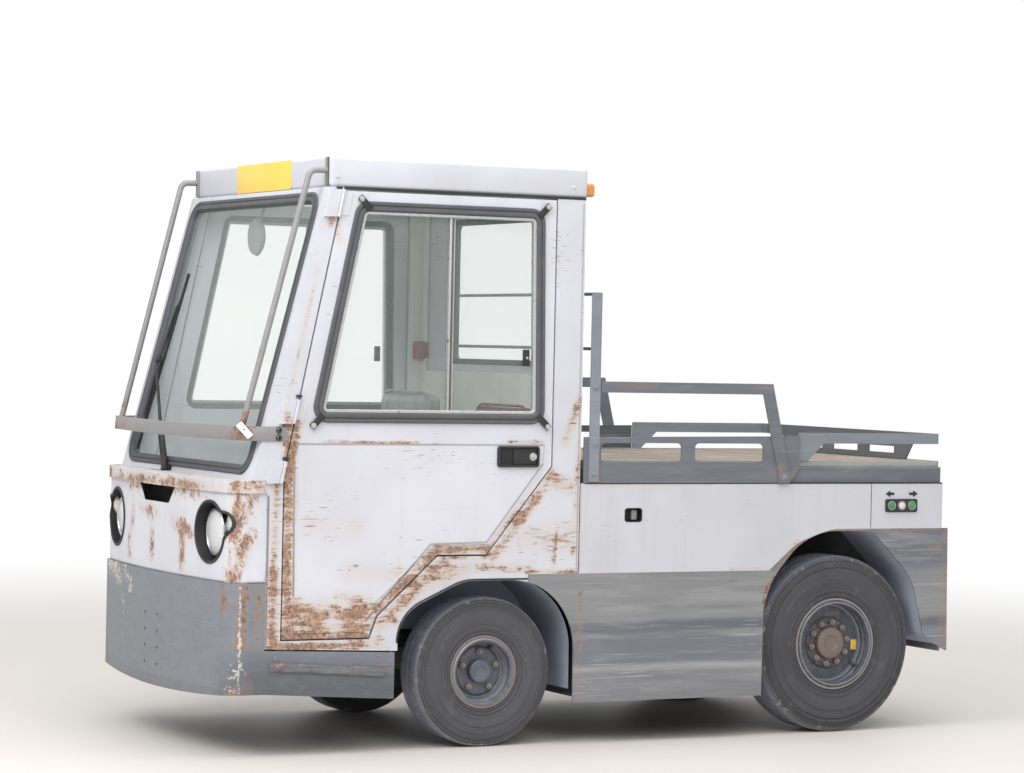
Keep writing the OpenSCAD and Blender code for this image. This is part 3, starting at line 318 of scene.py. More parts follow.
def plate(outline, plane, low, high, edge=0.0):
    """Flat plate with the given outline, from height low to height high over the plane."""
    piece = ring_of([plane(a, b, low) for a, b in outline])
    bpy.ops.mesh.select_all(action="SELECT")
    bpy.ops.mesh.edge_face_add()
    step = plane(0, 0, high) - plane(0, 0, low)
    bpy.ops.mesh.extrude_region_move(TRANSFORM_OT_translate={"value": step})
    close_edit()
    if edge:
        bevel(piece, edge, 2, 40)
    return piece


def bent_path(points, radius, steps=7):
    """Path with its corners bent to a radius, in metres."""
    path = [points[0]]
    for before, here, after in zip(points, points[1:], points[2:]):
        back, ahead = (before - here).normalized(), (after - here).normalized()
        half = back.angle(ahead) / 2
        run = min(radius / math.tan(half), (before - here).length * 0.45, (after - here).length * 0.45)
        start, end = here + back * run, here + ahead * run
        for k in range(steps + 1):
            t = k / steps
            path.append(start * (1 - t) ** 2 + here * 2 * t * (1 - t) + end * t ** 2)
    return path + [points[-1]]


def tube(points, radius, closed=False, sides=4):
    """Round tube along a path."""
    curve = bpy.data.curves.new("path", "CURVE")
    curve.dimensions = "3D"
    spline = curve.splines.new("POLY")
    spline.points.add(len(points) - 1)
    for spot, point in zip(spline.points, points):
        spot.co = (*point, 1)
    spline.use_cyclic_u = closed
    curve.bevel_depth = radius
    curve.bevel_resolution = sides
    curve.use_fill_caps = not closed
    piece = bpy.data.objects.new("path", curve)
    bpy.context.collection.objects.link(piece)
    pick(piece)
    bpy.ops.object.convert(target="MESH")
    return bpy.context.object


def paint(piece, look):
    piece.data.materials.clear()
    piece.data.materials.append(LOOKS[look])
    return piece


def join(parts):
    clear()
    for part in parts:
        part.select_set(True)
    bpy.context.view_layer.objects.active = parts[0]
    if len(parts) > 1:
        bpy.ops.object.join()
    return bpy.context.object


def copy_of(piece, matrix):
    """Copy with its own mesh, placed by a matrix."""
    pick(piece)
    bpy.ops.object.duplicate(linked=False)
    twin = bpy.context.object
    twin.matrix_world = matrix @ twin.matrix_world
    settle(twin)
    if matrix.determinant() < 0:
        edit(twin)
        close_edit()
    return twin


def moved_to(piece, matrix):
    """Takes a piece that was made at the origin to its place."""
    twin = copy_of(piece, matrix)
    bpy.data.objects.remove(piece)
    return twin


def sunk_face(piece, way, smallest, rim, move):
    """Insets the large face that looks a given way by a rim, and moves it."""
    mesh = edit(piece)
    bpy.ops.mesh.select_all(action="DESELECT")
    for face in mesh.faces:
        face.select = face.normal.dot(way) > 0.99 and face.calc_area() > smallest
    bmesh.update_edit_mesh(piece.data)
    bpy.ops.mesh.inset(thickness=rim)
    bpy.ops.mesh.extrude_region_move(TRANSFORM_OT_translate={"value": move})
    close_edit(False)


MIRROR = Matrix.Scale(-1, 4, (1, 0, 0))


def finish_piece(piece, name, body="root", look=None, hides=(), angle=32):
    """Names a piece, gives it its finish and its body, and hides the CAD nodes that it stands for."""
    if look:
        paint(piece, look)
    smooth(piece, angle)
    piece.name = name
    piece.data.name = name
    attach(piece, body)
    if hides:
        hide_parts(*hides)
    return piece


def both_sides(piece, name, bodies=("root", "root"), look=None, hides=((), ())):
    """Finishes a left piece and its mirror image on the right."""
    if look:
        paint(piece, look)
    twin = copy_of(piece, MIRROR)
    finish_piece(piece, name + "_left", bodies[0], None, hides[0])
    finish_piece(twin, name + "_right", bodies[1], None, hides[1])


def bolts(spots, radius, height, washer=True, sides=6):
    """One joined set of bolt heads, from (point, direction)."""
    head = bar(Vector((0, 0, 0)), Vector((0, 0, height)), radius, sides, radius * 0.12)
    parts = [head]
    if washer:
        parts.append(bar(Vector((0, 0, 0)), Vector((0, 0, height * 0.25)), radius * 1.45, 20))
    master = join(parts)
    made = []
    for i, (point, direction) in enumerate(spots):
        turn = direction.to_track_quat("Z", "Y").to_matrix().to_4x4()
        spin = Matrix.Rotation(i * 0.7, 4, "Z")
        made.append(copy_of(master, Matrix.Translation(point) @ turn @ spin))
    bpy.data.objects.remove(master)
    return join(made)


def side_spots(*rows):
    """Spots on both sides of the body, each with its way out, from (station, z, mm out)."""
    return [(at(sign * (BODY_SIDE + out), y, z), LEFT * sign) for sign in (1, -1) for y, z, out in rows]


def left_side(a, b, up):
    """Plane of the tug's left side: station, height and how far out."""
    return at(BODY_SIDE + up, a, b)


def rear_side(station):
    """Plane across the tug that faces back, at a station."""
    return lambda a, b, up: at(-a, station + up, b)


def on_screen(a, b, up):
    """Plane of the windscreen: sideways, up along the glass, and out from it."""
    sine, cosine = math.sin(SCREEN_TILT), math.cos(SCREEN_TILT)
    return at(a, SCREEN_FOOT[0] + b * sine - up * cosine, SCREEN_FOOT[1] + b * cosine + up * sine)


def over_glass(*spots):
    """Points over the windscreen, from (point on the glass, height over it)."""
    return [on_screen(*spot, up) for spot, up in spots]


LEFT, BACK, UP = Vector((1, 0, 0)), Vector((0, 1, 0)), Vector((0, 0, 1))


# Finishes

class Nodes:
    """A node tree, built up step by step."""

    def __init__(self, tree):
        self.tree = tree

    def add(self, kind, inputs=(), **settings):
        made = self.tree.nodes.new("ShaderNode" + kind)
        for key, value in settings.items():
            setattr(made, key, value)
        self.fill(made, inputs)
        return made

    def fill(self, node, inputs):
        """Gives a node's sockets their links and values."""
        for socket, value in inputs:
            if isinstance(value, bpy.types.NodeSocket):
                self.tree.links.new(value, node.inputs[socket])
            elif value is not None:
                node.inputs[socket].default_value = value

    def maths(self, kind, first, second=0.0):
        return self.add("Math", [(0, first), (1, second)], operation=kind).outputs[0]

    def plus(self, first, second):
        return self.maths("ADD", first, second)

    def minus(self, first, second):
        return self.maths("SUBTRACT", first, second)

    def times(self, first, second):
        return self.maths("MULTIPLY", first, second)

    def most(self, first, second):
        return self.maths("MAXIMUM", first, second)

    def sight(self):
        """1 for rays from the camera, through glass or off a gloss, and 0 for all others."""
        rays = self.add("LightPath").outputs
        return self.most(self.most(rays["Is Camera Ray"], rays["Is Transmission Ray"]), rays["Is Glossy Ray"])


class Finish(Nodes):
    """One node material."""

    def __init__(self, name, rough=0.5, metal=0.0, **sockets):
        self.material = bpy.data.materials.new(name)
        self.material.use_nodes = True
        super().__init__(self.material.node_tree)
        self.shader = self.tree.nodes["Principled BSDF"]
        self.shader.inputs["Roughness"].default_value = rough
        self.shader.inputs["Metallic"].default_value = metal
        for key, value in sockets.items():
            self.shader.inputs[key.replace("_", " ")].default_value = value
        self.place = self.add("TexCoord").outputs["Object"]

    def stretched(self, x, y, z, turn=(0, 0, 0)):
        return self.add("Mapping", [(0, self.place), (2, turn), (3, (x, y, z))]).outputs[0]

    def noise(self, vector, scale, detail=3.0, rough=0.55, warp=0.0):
        return self.add("TexNoise", [("Vector", vector), ("Scale", scale), ("Detail", detail),
                                     ("Roughness", rough), ("Distortion", warp)]).outputs["Fac"]

    def ease(self, value, low, high, start=0.0, end=1.0):
        return self.add("MapRange", [(0, value), (1, low), (2, high), (3, start), (4, end)],
                        interpolation_type="SMOOTHSTEP").outputs[0]

    def mix(self, factor, first, second):
        return self.add("Mix", [(0, factor), (6, first), (7, second)], data_type="RGBA").outputs[2]

    def coat(self, cover, colour):
        """Lays a colour over the shade, as far as the cover says."""
        self.shade = self.mix(cover, self.shade, colour)

    def part(self, axis):
        return self.add("SeparateXYZ", [(0, self.place)]).outputs[axis]

    def line(self, start, end, reach, weight=1.0):
        """How near a point is to a line, from 0 at the reach to the weight on it."""
        run = end - start
        away = self.add("VectorMath", [(0, self.place), (1, start)], operation="SUBTRACT").outputs[0]
        along = self.add("VectorMath", [(0, away), (1, run / max(run.length_squared, 1e-9))],
                         operation="DOT_PRODUCT").outputs["Value"]
        along = self.add("Clamp", [(0, along)]).outputs[0]
        foot = self.add("VectorMath", [(0, run), ("Scale", along)], operation="SCALE").outputs[0]
        gap = self.add("VectorMath", [(0, away), (1, foot)], operation="DISTANCE").outputs["Value"]
        return self.ease(gap, reach * MM, 0.0, 0.0, weight)

    def nearest(self, lines):
        value = self.line(*lines[0])
        for line in lines[1:]:
            value = self.most(value, self.line(*line))
        return value

    def radius(self, centre):
        """Distance from a wheel's axis."""
        away = self.add("VectorMath", [(0, self.place), (1, centre)], operation="SUBTRACT").outputs[0]
        flat = self.add("VectorMath", [(0, away), (1, (0, 1, 1))], operation="MULTIPLY").outputs[0]
        return self.add("VectorMath", [(0, flat)], operation="LENGTH").outputs["Value"]

    def bump(self, height, depth, strength=0.6, below=None):
        links = [("Height", height), ("Strength", strength), ("Distance", depth)]
        if below:
            links.append(("Normal", below))
        return self.add("Bump", links).outputs[0]

    def done(self, rough=None, normal=None):
        self.fill(self.shader, (("Base Color", self.shade), ("Roughness", rough), ("Normal", normal)))
        return self.material


def darker(base, share):
    return tuple(part * share for part in base[:3]) + (1.0,)


FOLD_HEIGHT = 606
# Where each part is worn, and where shade and highlights are painted (the crease lines, the bumper's
# shade lines and its corner highlight), in millimetres. Six numbers are a line on the left side, as (station,
# z, station, z, reach, weight), and eight are a line in space, as (x, station, z, x, station, z, reach,
# weight).
WEAR = {
    "door": [
        (-790, 425, -485, 420, 110, 1.0), (-780, 505, -500, 497, 84, 0.9), (-600, 545, -520, 540, 50, 0.7),
        (-795, 430, -795, 1000, 46, 0.82), (-485, 430, -445, 500, 60, 1.0), (-445, 500, -215, 712, 44, 0.95),
        (-215, 715, 0, 716, 34, 0.9), (0, 720, 90, 830, 34, 0.85), (90, 830, 200, 960, 28, 0.7),
        (-560, 640, -380, 640, 60, 0.4), (-700, 800, -560, 790, 90, 0.3), (-795, 990, -770, 1160, 40, 1.0),
        (-650, 1960, -620, 1800, 30, 0.6), (-660, 1096, -300, 1094, 12, 0.8), (60, 1100, 190, 1100, 14, 0.5)],
    # painted shade: dark lines along the edges of the door's raised panel
    "door_creases": [
        (-764, 1087, 201, 1087, 6, 0.8), (-774, 1080, -768, 560, 6, 0.7), (-491, 469, -246, 735, 7, 0.9),
        (-246, 735, -24, 740, 7, 0.9), (-24, 740, 196, 1020, 7, 0.9), (196, 1020, 201, 1087, 5, 0.8),
        (-350, 850, -30, 868, 4, 0.35)],
    "shell": [
        (-845, 395, -848, 640, 46, 1.0), (-848, 640, -840, 960, 30, 0.75), (-868, 386, -560, 384, 26, 1.0),
        (-560, 386, -440, 400, 40, 0.8), (-430, 460, -190, 672, 52, 0.95), (-340, 590, -100, 648, 54, 0.9),
        (-60, 652, 150, 640, 34, 0.6), (-180, 690, 0, 695, 30, 0.7), (10, 690, 234, 985, 44, 0.8),
        (120, 740, 330, 760, 110, 0.42), (236, 970, 320, 930, 50, 0.7), (140, 632, 345, 628, 22, 0.85),
        (250, 660, 262, 800, 20, 0.75), (330, 700, 345, 1100, 26, 0.6), (-806, 1190, -790, 1010, 36, 1.0),
        (-640, 1900, -655, 1860, 30, 0.7), (-455, 560, -380, 470, 40, 0.85), (290, 1100, 345, 1250, 40, 0.55),
        (-810, 1200, -700, 1700, 16, 0.45)],
    # painted shade: dark lines down the seam ahead of the door and down the cab's rear edge
    "shell_creases": [
        (-868, 388, -868, 906, 8, 0.8), (344, 640, 344, 1960, 5, 0.5)],
    "nose": [
        (600, -990, 800, 640, -940, 905, 90, 0.8), (600, -985, 620, 640, -940, 760, 70, 0.7),
        (250, -1040, 640, 250, -1030, 760, 46, 0.8), (-30, -1045, 660, -30, -1040, 740, 40, 0.8),
        (-160, -1040, 830, 20, -1040, 815, 60, 0.62), (180, -1040, 790, 330, -1030, 760, 60, 0.6),
        (-480, -1040, 900, 520, -1030, 905, 40, 0.6), (-300, -1040, 640, -260, -1040, 820, 70, 0.5),
        (-620, -960, 620, -620, -950, 860, 60, 0.6)],
    "lip": [
        (-640, -960, 922, 640, -960, 922, 110, 0.6), (-600, -1035, 930, 600, -1035, 930, 46, 0.75),
        (640, -985, 938, 640, -850, 938, 60, 0.9), (-560, -1010, 925, -640, -940, 955, 60, 0.9)],
    "panel": [
        (1180, 640, 1290, 735, 16, 0.55), (355, 640, 355, 940, 14, 0.7), (1000, 630, 1170, 630, 12, 0.6),
        (400, 944, 900, 944, 8, 0.5)],
    "bumper": [
        (640, -958, 470, 642, -955, 615, 44, 1.0), (640, -958, 390, 642, -955, 440, 42, 0.85),
        (650, -898, 400, 650, -896, 600, 30, 1.0), (590, -1000, 520, 596, -996, 610, 40, 0.8),
        (628, -980, 215, 646, -940, 250, 44, 1.0), (-640, -930, 300, -640, -930, 560, 46, 0.8)],
    # pale scuffs, and a painted highlight down the bent near corner (the last line)
    "bumper_chalk": [
        (-530, -1015, 600, -380, -1028, 560, 110, 0.5), (-330, -1035, 600, -230, -1040, 540, 90, 0.44),
        (-330, -1035, 420, -330, -1035, 480, 70, 0.4), (618, -990, 230, 640, -958, 330, 80, 0.36),
        (643, -962, 230, 643, -962, 590, 18, 0.46)],
    "skirt": [
        (1150, 540, 1200, 625, 17, 1.0), (1200, 625, 1270, 700, 17, 1.0), (1270, 700, 1340, 742, 16, 1.0),
        (1340, 742, 1440, 768, 16, 1.0), (1440, 772, 1970, 776, 13, 0.9), (1955, 320, 1965, 770, 34, 0.7),
        (1146, 180, 1146, 540, 12, 0.8), (1900, 700, 1960, 706, 26, 0.6), (360, 620, 1150, 628, 8, 0.6),
        (365, 160, 365, 560, 20, 0.5)],
    "guard": [
        (620, -940, 1180, 612, -960, 1112, 60, 1.0), (-620, -940, 1180, -612, -960, 1112, 60, 1.0),
        (-600, -985, 1120, 600, -985, 1120, 40, 0.35)],
    "rail": [
        (1190, 960, 1200, 1000, 34, 1.0), (1080, 1310, 1150, 1315, 24, 0.7), (500, 1310, 700, 1312, 24, 0.5),
        (415, 950, 415, 1000, 22, 0.9), (420, 1090, 420, 1110, 18, 0.8), (1240, 960, 1290, 1010, 30, 0.6)],
    # painted shade: a dark line along the fold across the nose
    "nose_creases": [
        (x0, y0, FOLD_HEIGHT, x1, y1, FOLD_HEIGHT, 9, 0.85) for x0, y0, x1, y1 in (
            (-576, -1000, -290, -1028), (-290, -1028, 0, -1037), (0, -1037, 290, -1028),
            (290, -1028, 576, -1000), (576, -1000, 624, -972), (624, -972, 640, -926),
            (640, -926, 640, -872))],
    # painted shade low on the bumper's sides, where it curls under at the steps
    "bumper_shade": [
        (side, -930, 250, side, -400, 232, 180, 0.85) for side in (BODY_SIDE, -BODY_SIDE)],
}
WEAR["board"] = WEAR["rail"]
# Rings on the tyres, dark ones as painted shade in their grooves and pale ones as painted highlights, as
# (share of the radius, width in mm, darkness, or paleness when negative)
TYRE_RINGS = {
    "front": [
        (0.50, 3.2, 0.6), (0.535, 2.4, 0.4), (0.575, 3.0, 0.5), (0.63, 2.4, 0.35), (0.88, 3.0, 0.55),
        (0.915, 2.6, 0.5), (0.955, 3.4, 0.6), (0.975, 2.2, -0.5)],
    "rear": [
        (0.515, 3.2, 0.6), (0.55, 2.6, 0.4), (0.60, 2.4, 0.3), (0.86, 3.0, 0.5), (0.90, 3.0, 0.5),
        (0.935, 3.0, 0.45), (0.965, 2.6, -0.3)],
}


def wear(part):
    """A part's lines of wear, of painted shade or of painted highlight, as (start, end, reach, weight)."""
    made = []
    for *ends, reach, weight in WEAR.get(part, ()):
        if len(ends) == 4:
            ends = [BODY_SIDE, *ends[:2], BODY_SIDE, *ends[2:]]
        made.append((at(*ends[:3]), at(*ends[3:]), reach, weight))
    return made


RUST_DARK = tone(104, 80, 70)
RUST_ORANGE = tone(184, 150, 126)
CREAM = tone(198, 176, 156)
GRIME = tone(176, 168, 158)


def worn_paint(part, base, rust, chips, scrapes, grime=0.2, stain=0.6, rough=0.4, grain=(11, 11, 74)):
    """Old paint: clouds, streaks of grime, short scrapes, flakes of rust near the lines of wear, and painted
    shade along the crease lines.
    """
    f = Finish(part + "_paint")
    lines, crease_shade = wear(part), wear(part + "_creases")
    cloud = f.noise(f.place, 1.9, 4)
    f.shade = f.mix(f.ease(cloud, 0.36, 0.66), base, darker(base, 0.9))
    streak = f.noise(f.stretched(13, 13, 0.8), 1.0, 5, 0.6)
    f.coat(f.ease(streak, 0.52, 0.76, 0.0, grime), GRIME)
    flake = f.noise(f.stretched(*grain), 1.0, 7, 0.72, 0.5)
    speck = f.noise(f.place, 85, 5, 0.7)
    patch = f.noise(f.place, 9, 4, 0.6)
    mottle = f.plus(f.times(flake, 0.56), f.times(speck, 0.2))
    mottle = f.plus(mottle, f.times(patch, 0.24))
    loss = f.plus(mottle, chips)
    near = 0.0
    if lines:
        near = f.times(f.nearest(lines), f.ease(patch, 0.36, 0.6, 0.62, 1.0))
        f.coat(f.times(near, stain), CREAM)
        loss = f.plus(loss, f.times(near, 0.25))
    if scrapes:
        line = f.noise(f.stretched(17, 17, 170), 1.0, 4, 0.6)
        zone = f.ease(f.noise(f.stretched(1.6, 1.6, 3.2), 1.0, 3), 0.46, 0.66, 0.0, scrapes)
        zone = f.plus(zone, f.times(near, 0.1))
        cut = f.ease(f.plus(line, zone), 0.7, 0.73)
        f.coat(f.times(cut, 0.7), darker(rust, 0.7))
    # dark lines along the fold, the seams and the panel edges: painted shade
    if crease_shade:
        f.coat(f.nearest(crease_shade), tone(74, 70, 70))
    primer = f.ease(loss, 0.57, 0.605)
    f.coat(f.times(primer, 0.75), tone(184, 160, 144))
    bare = f.times(f.ease(loss, 0.612, 0.65), f.ease(flake, 0.37, 0.44, 0.35, 1.0))
    tint = f.mix(f.ease(f.noise(f.place, 31, 5, 0.65), 0.42, 0.66), rust, RUST_ORANGE)
    tint = f.mix(f.ease(speck, 0.47, 0.62), tint, RUST_DARK)
    f.coat(f.times(bare, 0.92), tint)
    gloss = f.ease(bare, 0.0, 1.0, rough, 0.84)
    dull = f.plus(gloss, f.ease(cloud, 0.4, 0.7, 0.0, 0.14))
    raised = f.minus(1.0, primer)
    raised = f.plus(raised, f.times(f.times(speck, bare), 0.8))
    return f.done(dull, f.bump(raised, 0.0006, 0.8, f.bump(cloud, 0.004, 0.2)))


def scuffed_paint(part, base, light, rust, scratches, chips, bands=(), dirt=0.55, inner=0.0,
                  grain=(2.6, 2.6, 26)):
    """Blue-grey armour paint: bands by height, some of them painted light and shade, painted shade along the
    part's shade lines, pale scratches and scuffs with a painted highlight, and rust near the part's lines of
    wear.
    """
    f = Finish(part + "_paint")
    lines, pales = wear(part), wear(part + "_chalk")
    cloud = f.noise(f.stretched(1.1, 1.1, 2.2), 1.0, 5, 0.6)
    f.shade = f.mix(f.ease(cloud, 0.34, 0.66), darker(base, 0.84), base)
    if inner:
        within = f.ease(f.maths("ABSOLUTE", f.part(0)), inner - 0.002, inner + 0.001, 0.75, 0.0)
        f.coat(within, darker(base, 0.36))
    height = f.plus(f.part(2), f.times(f.minus(cloud, 0.5), 0.05))
    for low, high, tint, weight in bands:
        rise = f.ease(height, low - 0.012, low + 0.012)
        fall = f.ease(height, high - 0.012, high + 0.012, 1.0, 0.0)
        f.coat(f.times(f.times(rise, fall), weight), tint)
    # painted shade along the shade lines, where the bumper curls under at the steps
    for shade_line in wear(part + "_shade"):
        f.coat(f.line(*shade_line), darker(base, 0.4))
    fine = f.noise(f.stretched(*grain), 1.0, 6, 0.66, 0.5)
    f.coat(f.ease(fine, 0.46, 0.7, 0.0, 0.34 * scratches), light)
    f.coat(f.ease(fine, 0.5, 0.28, 0.0, 0.3), darker(base, 0.62))
    cross = f.noise(f.stretched(3.4, 3.4, 130, (0.42, 0, 0)), 1.0, 4, 0.5)
    long = f.noise(f.stretched(1.6, 1.6, 190), 1.0, 4, 0.5)
    zone = f.ease(f.noise(f.place, 2.4, 3), 0.46, 0.62, 0.0, 0.045)
    cut = f.most(f.ease(f.plus(cross, zone), 0.7, 0.72), f.ease(f.plus(long, zone), 0.69, 0.71))
    f.coat(f.times(cut, 0.55 * scratches), tone(188, 187, 184))
    speck = f.noise(f.place, 70, 5, 0.72)
    blotch = f.noise(f.place, 12, 4, 0.6)
    loss = f.plus(f.plus(f.times(speck, 0.6), f.times(blotch, 0.4)), chips)
    if lines:
        near = f.times(f.nearest(lines), f.ease(blotch, 0.38, 0.58, 0.3, 1.0))
        f.coat(f.times(near, dirt), tone(152, 128, 112))
        loss = f.plus(loss, f.times(near, 0.2))
    bare = f.ease(loss, 0.61, 0.65)
    tint = f.mix(f.ease(f.noise(f.place, 34, 4), 0.4, 0.6), rust, RUST_DARK)
    f.coat(f.times(bare, 0.9), tint)
    # pale scuffs, with a painted highlight along the last of their lines
    if pales:
        chalk_and_highlight = f.plus(f.nearest(pales), f.plus(f.times(speck, 1.3), f.times(blotch, 0.5)))
        f.coat(f.ease(chalk_and_highlight, 1.33, 1.4, 0.0, 0.85), tone(204, 200, 190))
    dull = f.ease(cloud, 0.3, 0.7, 0.4, 0.6)
    raised = f.minus(f.times(fine, 0.4), f.plus(bare, cut))
    return f.done(dull, f.bump(raised, 0.0006, 0.6, f.bump(cloud, 0.006, 0.25)))


def rubber(name, base):
    f = Finish(name, 0.62)
    dust = f.noise(f.place, 9, 5, 0.65)
    f.shade = f.mix(f.ease(dust, 0.4, 0.75, 0.0, 0.25), base, tone(128, 127, 126))
    return f.done(f.ease(dust, 0.3, 0.7, 0.62, 0.82), f.bump(f.noise(f.place, 240.0, 3), 0.0004, 0.35))


def moulded(name, base, rough=0.5, grain=600.0):
    """Moulded plastic, or any other even finish with a fine grain."""
    f = Finish(name, rough)
    rub = f.noise(f.place, 6, 4)
    f.shade = f.mix(f.ease(rub, 0.4, 0.7, 0.0, 0.5), base, darker(base, 0.8))
    return f.done(f.ease(rub, 0.35, 0.7, rough, rough + 0.12),
                  f.bump(f.noise(f.place, grain, 2), 0.0002, 0.25))


def bare_metal(name, base, rough=0.3, rust=0.0):
    f = Finish(name, rough, 1.0)
    brush = f.noise(f.stretched(60, 60, 500), 1.0, 3)
    f.shade = f.mix(f.ease(brush, 0.4, 0.6), base, darker(base, 0.82))
    spots = f.ease(f.plus(f.noise(f.place, 38, 5, 0.7), rust), 0.62, 0.68)
    f.coat(spots, tone(140, 104, 80))
    return f.done(f.ease(brush, 0.3, 0.7, rough, rough + 0.15), f.bump(brush, 0.0002, 0.2))


def wheel_rubber(name, base, centre, radius, rings):
    """Tyre rubber: dusty, brownish at the sides, bluish on the tread, with fine rings round its axis,
    darkened as painted shade in their grooves or paled as painted highlights.
    """
    f = Finish(name, 0.7)
    away = f.radius(centre)
    dust = f.noise(f.place, 7, 5, 0.6)
    f.shade = f.mix(f.ease(dust, 0.38, 0.68), base, darker(base, 0.8))
    f.coat(f.ease(away, radius * 0.965, radius * 0.995, 0.0, 0.8), tone(132, 135, 146))
    height = f.times(f.noise(f.place, 130, 4), 0.4)
    for share, width, weight in rings:
        gap = f.maths("ABSOLUTE", f.minus(away, radius * share))
        groove = f.ease(gap, width * MM, width * 0.4 * MM)
        # dark rings: painted shade in the grooves; pale rings: painted highlights
        f.coat(f.times(groove, abs(weight)), darker(base, 0.3) if weight > 0 else tone(132, 129, 127))
        height = f.maths("SUBTRACT" if weight > 0 else "ADD", height, groove)
    film = f.ease(f.noise(f.place, 14, 5, 0.65), 0.52, 0.72, 0.0, 0.3)
    f.coat(film, tone(118, 115, 114))
    scuff = f.ease(f.noise(f.place, 60, 5, 0.7), 0.64, 0.7, 0.0, 0.4)
    f.coat(scuff, tone(146, 142, 138))
    rubbed = f.times(f.ease(away, radius * 0.93, radius * 0.97),
                     f.ease(f.noise(f.place, 34, 6, 0.75), 0.56, 0.63, 0.0, 0.55))
    f.coat(rubbed, tone(182, 182, 184))
    return f.done(0.72, f.bump(height, 0.0014, 0.5))


def wheel_paint(name, base, centre, rim, hub, rust):
    """Blue-grey rim paint with a dusty flange, pale rings painted on the flange as highlights, and a rusty
    hub.
    """
    f = Finish(name, 0.5, 0.1)
    away = f.radius(centre)
    grime = f.noise(f.place, 16, 5, 0.65)
    f.shade = f.mix(f.ease(grime, 0.36, 0.66), darker(base, 0.72), base)
    f.coat(f.ease(f.noise(f.place, 48, 4), 0.5, 0.66, 0.0, 0.4), tone(124, 124, 128))
    dusty = f.plus(f.ease(away, rim - 0.022, rim - 0.008), f.times(f.minus(grime, 0.5), 1.2))
    f.coat(f.ease(dusty, 0.5, 0.9, 0.0, 0.75), tone(126, 121, 118))
    # pale rings on the flange: painted highlights
    for inset in (0.008, 0.021, 0.034):
        gap = f.maths("ABSOLUTE", f.minus(away, rim - inset))
        f.coat(f.ease(gap, 0.0022, 0.0008, 0.0, 0.55), tone(168, 168, 172))
    brown = f.ease(f.plus(away, f.times(grime, 0.012)), hub + 0.012, hub + 0.004, 0.0, 0.85)
    f.coat(brown, tone(124, 108, 100))
    spots = f.ease(f.noise(f.place, 60, 5, 0.7), 0.6, 0.68, 0.0, 0.5)
    f.coat(spots, rust)
    return f.done(f.ease(grime, 0.3, 0.7, 0.34, 0.6), f.bump(grime, 0.0012, 0.4))


def weathered_wood(name, base, pitch, first):
    """Old planks that run across the deck, each with its own tone."""
    f = Finish(name, 0.8)
    board = f.maths("FLOOR", f.maths("DIVIDE", f.minus(f.part(1), first), pitch))
    own = f.add("TexWhiteNoise", [("W", board)], noise_dimensions="1D").outputs["Value"]
    grain = f.noise(f.stretched(1.6, 34, 34), 1.0, 8, 0.68, 0.7)
    f.shade = f.mix(f.ease(grain, 0.34, 0.66), darker(base, 0.66), base)
    f.coat(f.times(own, 0.45), tone(140, 128, 112))
    crack = f.ease(f.noise(f.stretched(2.2, 150, 150), 1.0, 4, 0.6), 0.64, 0.68)
    f.coat(f.times(crack, 0.8), tone(84, 72, 60))
    worn = f.ease(f.noise(f.place, 5, 4), 0.5, 0.7, 0.0, 0.4)
    f.coat(worn, tone(196, 190, 180))
    height = f.minus(grain, crack)
    return f.done(0.85, f.bump(height, 0.0016, 0.6))


def vinyl(name, base):
    f = Finish(name, 0.42)
    crease = f.noise(f.place, 13, 5, 0.6, 0.5)
    cell = f.add("TexVoronoi", [("Vector", f.place), ("Scale", 420.0)], feature="DISTANCE_TO_EDGE")
    f.shade = f.mix(f.ease(crease, 0.4, 0.7), base, darker(base, 0.72))
    dust = f.ease(f.noise(f.place, 5, 4), 0.5, 0.72, 0.0, 0.22)
    f.coat(dust, tone(170, 160, 156))
    height = f.plus(f.times(cell.outputs["Distance"], 0.5), crease)
    return f.done(f.ease(crease, 0.3, 0.7, 0.38, 0.55), f.bump(height, 0.0008, 0.4))


def clear_pane(name, base, cover, rough=0.04):
    """Glass seen as a thin clear film, so that what lies behind it stays lit."""
    f = Finish(name, rough, Alpha=cover, IOR=1.5, Specular_IOR_Level=1.0)
    smear = f.noise(f.stretched(3, 3, 5), 1.0, 4, 0.6)
    f.shade = f.mix(f.ease(smear, 0.4, 0.7), base, darker(base, 0.94))
    f.material.surface_render_method = "BLENDED"
    return f.done(f.ease(smear, 0.35, 0.7, rough, rough + 0.06))


def lens(name, base, cover, flutes, rough=0.12):
    """Moulded lamp glass with fine flutes."""
    f = Finish(name, rough, Alpha=cover, IOR=1.5, Coat_Weight=0.6, Coat_Roughness=0.05)
    wave = f.add("TexWave", [("Vector", f.place), ("Scale", flutes), ("Distortion", 0.4)],
                 bands_direction="X").outputs["Fac"]
    cross = f.add("TexWave", [("Vector", f.place), ("Scale", flutes * 0.3), ("Distortion", 0.2)],
                  bands_direction="Z").outputs["Fac"]
    height = f.plus(wave, f.times(cross, 0.5))
    f.shade = f.mix(f.times(wave, 0.4), base, darker(base, 0.86))
    return f.done(rough, f.bump(height, 0.0016, 0.7))


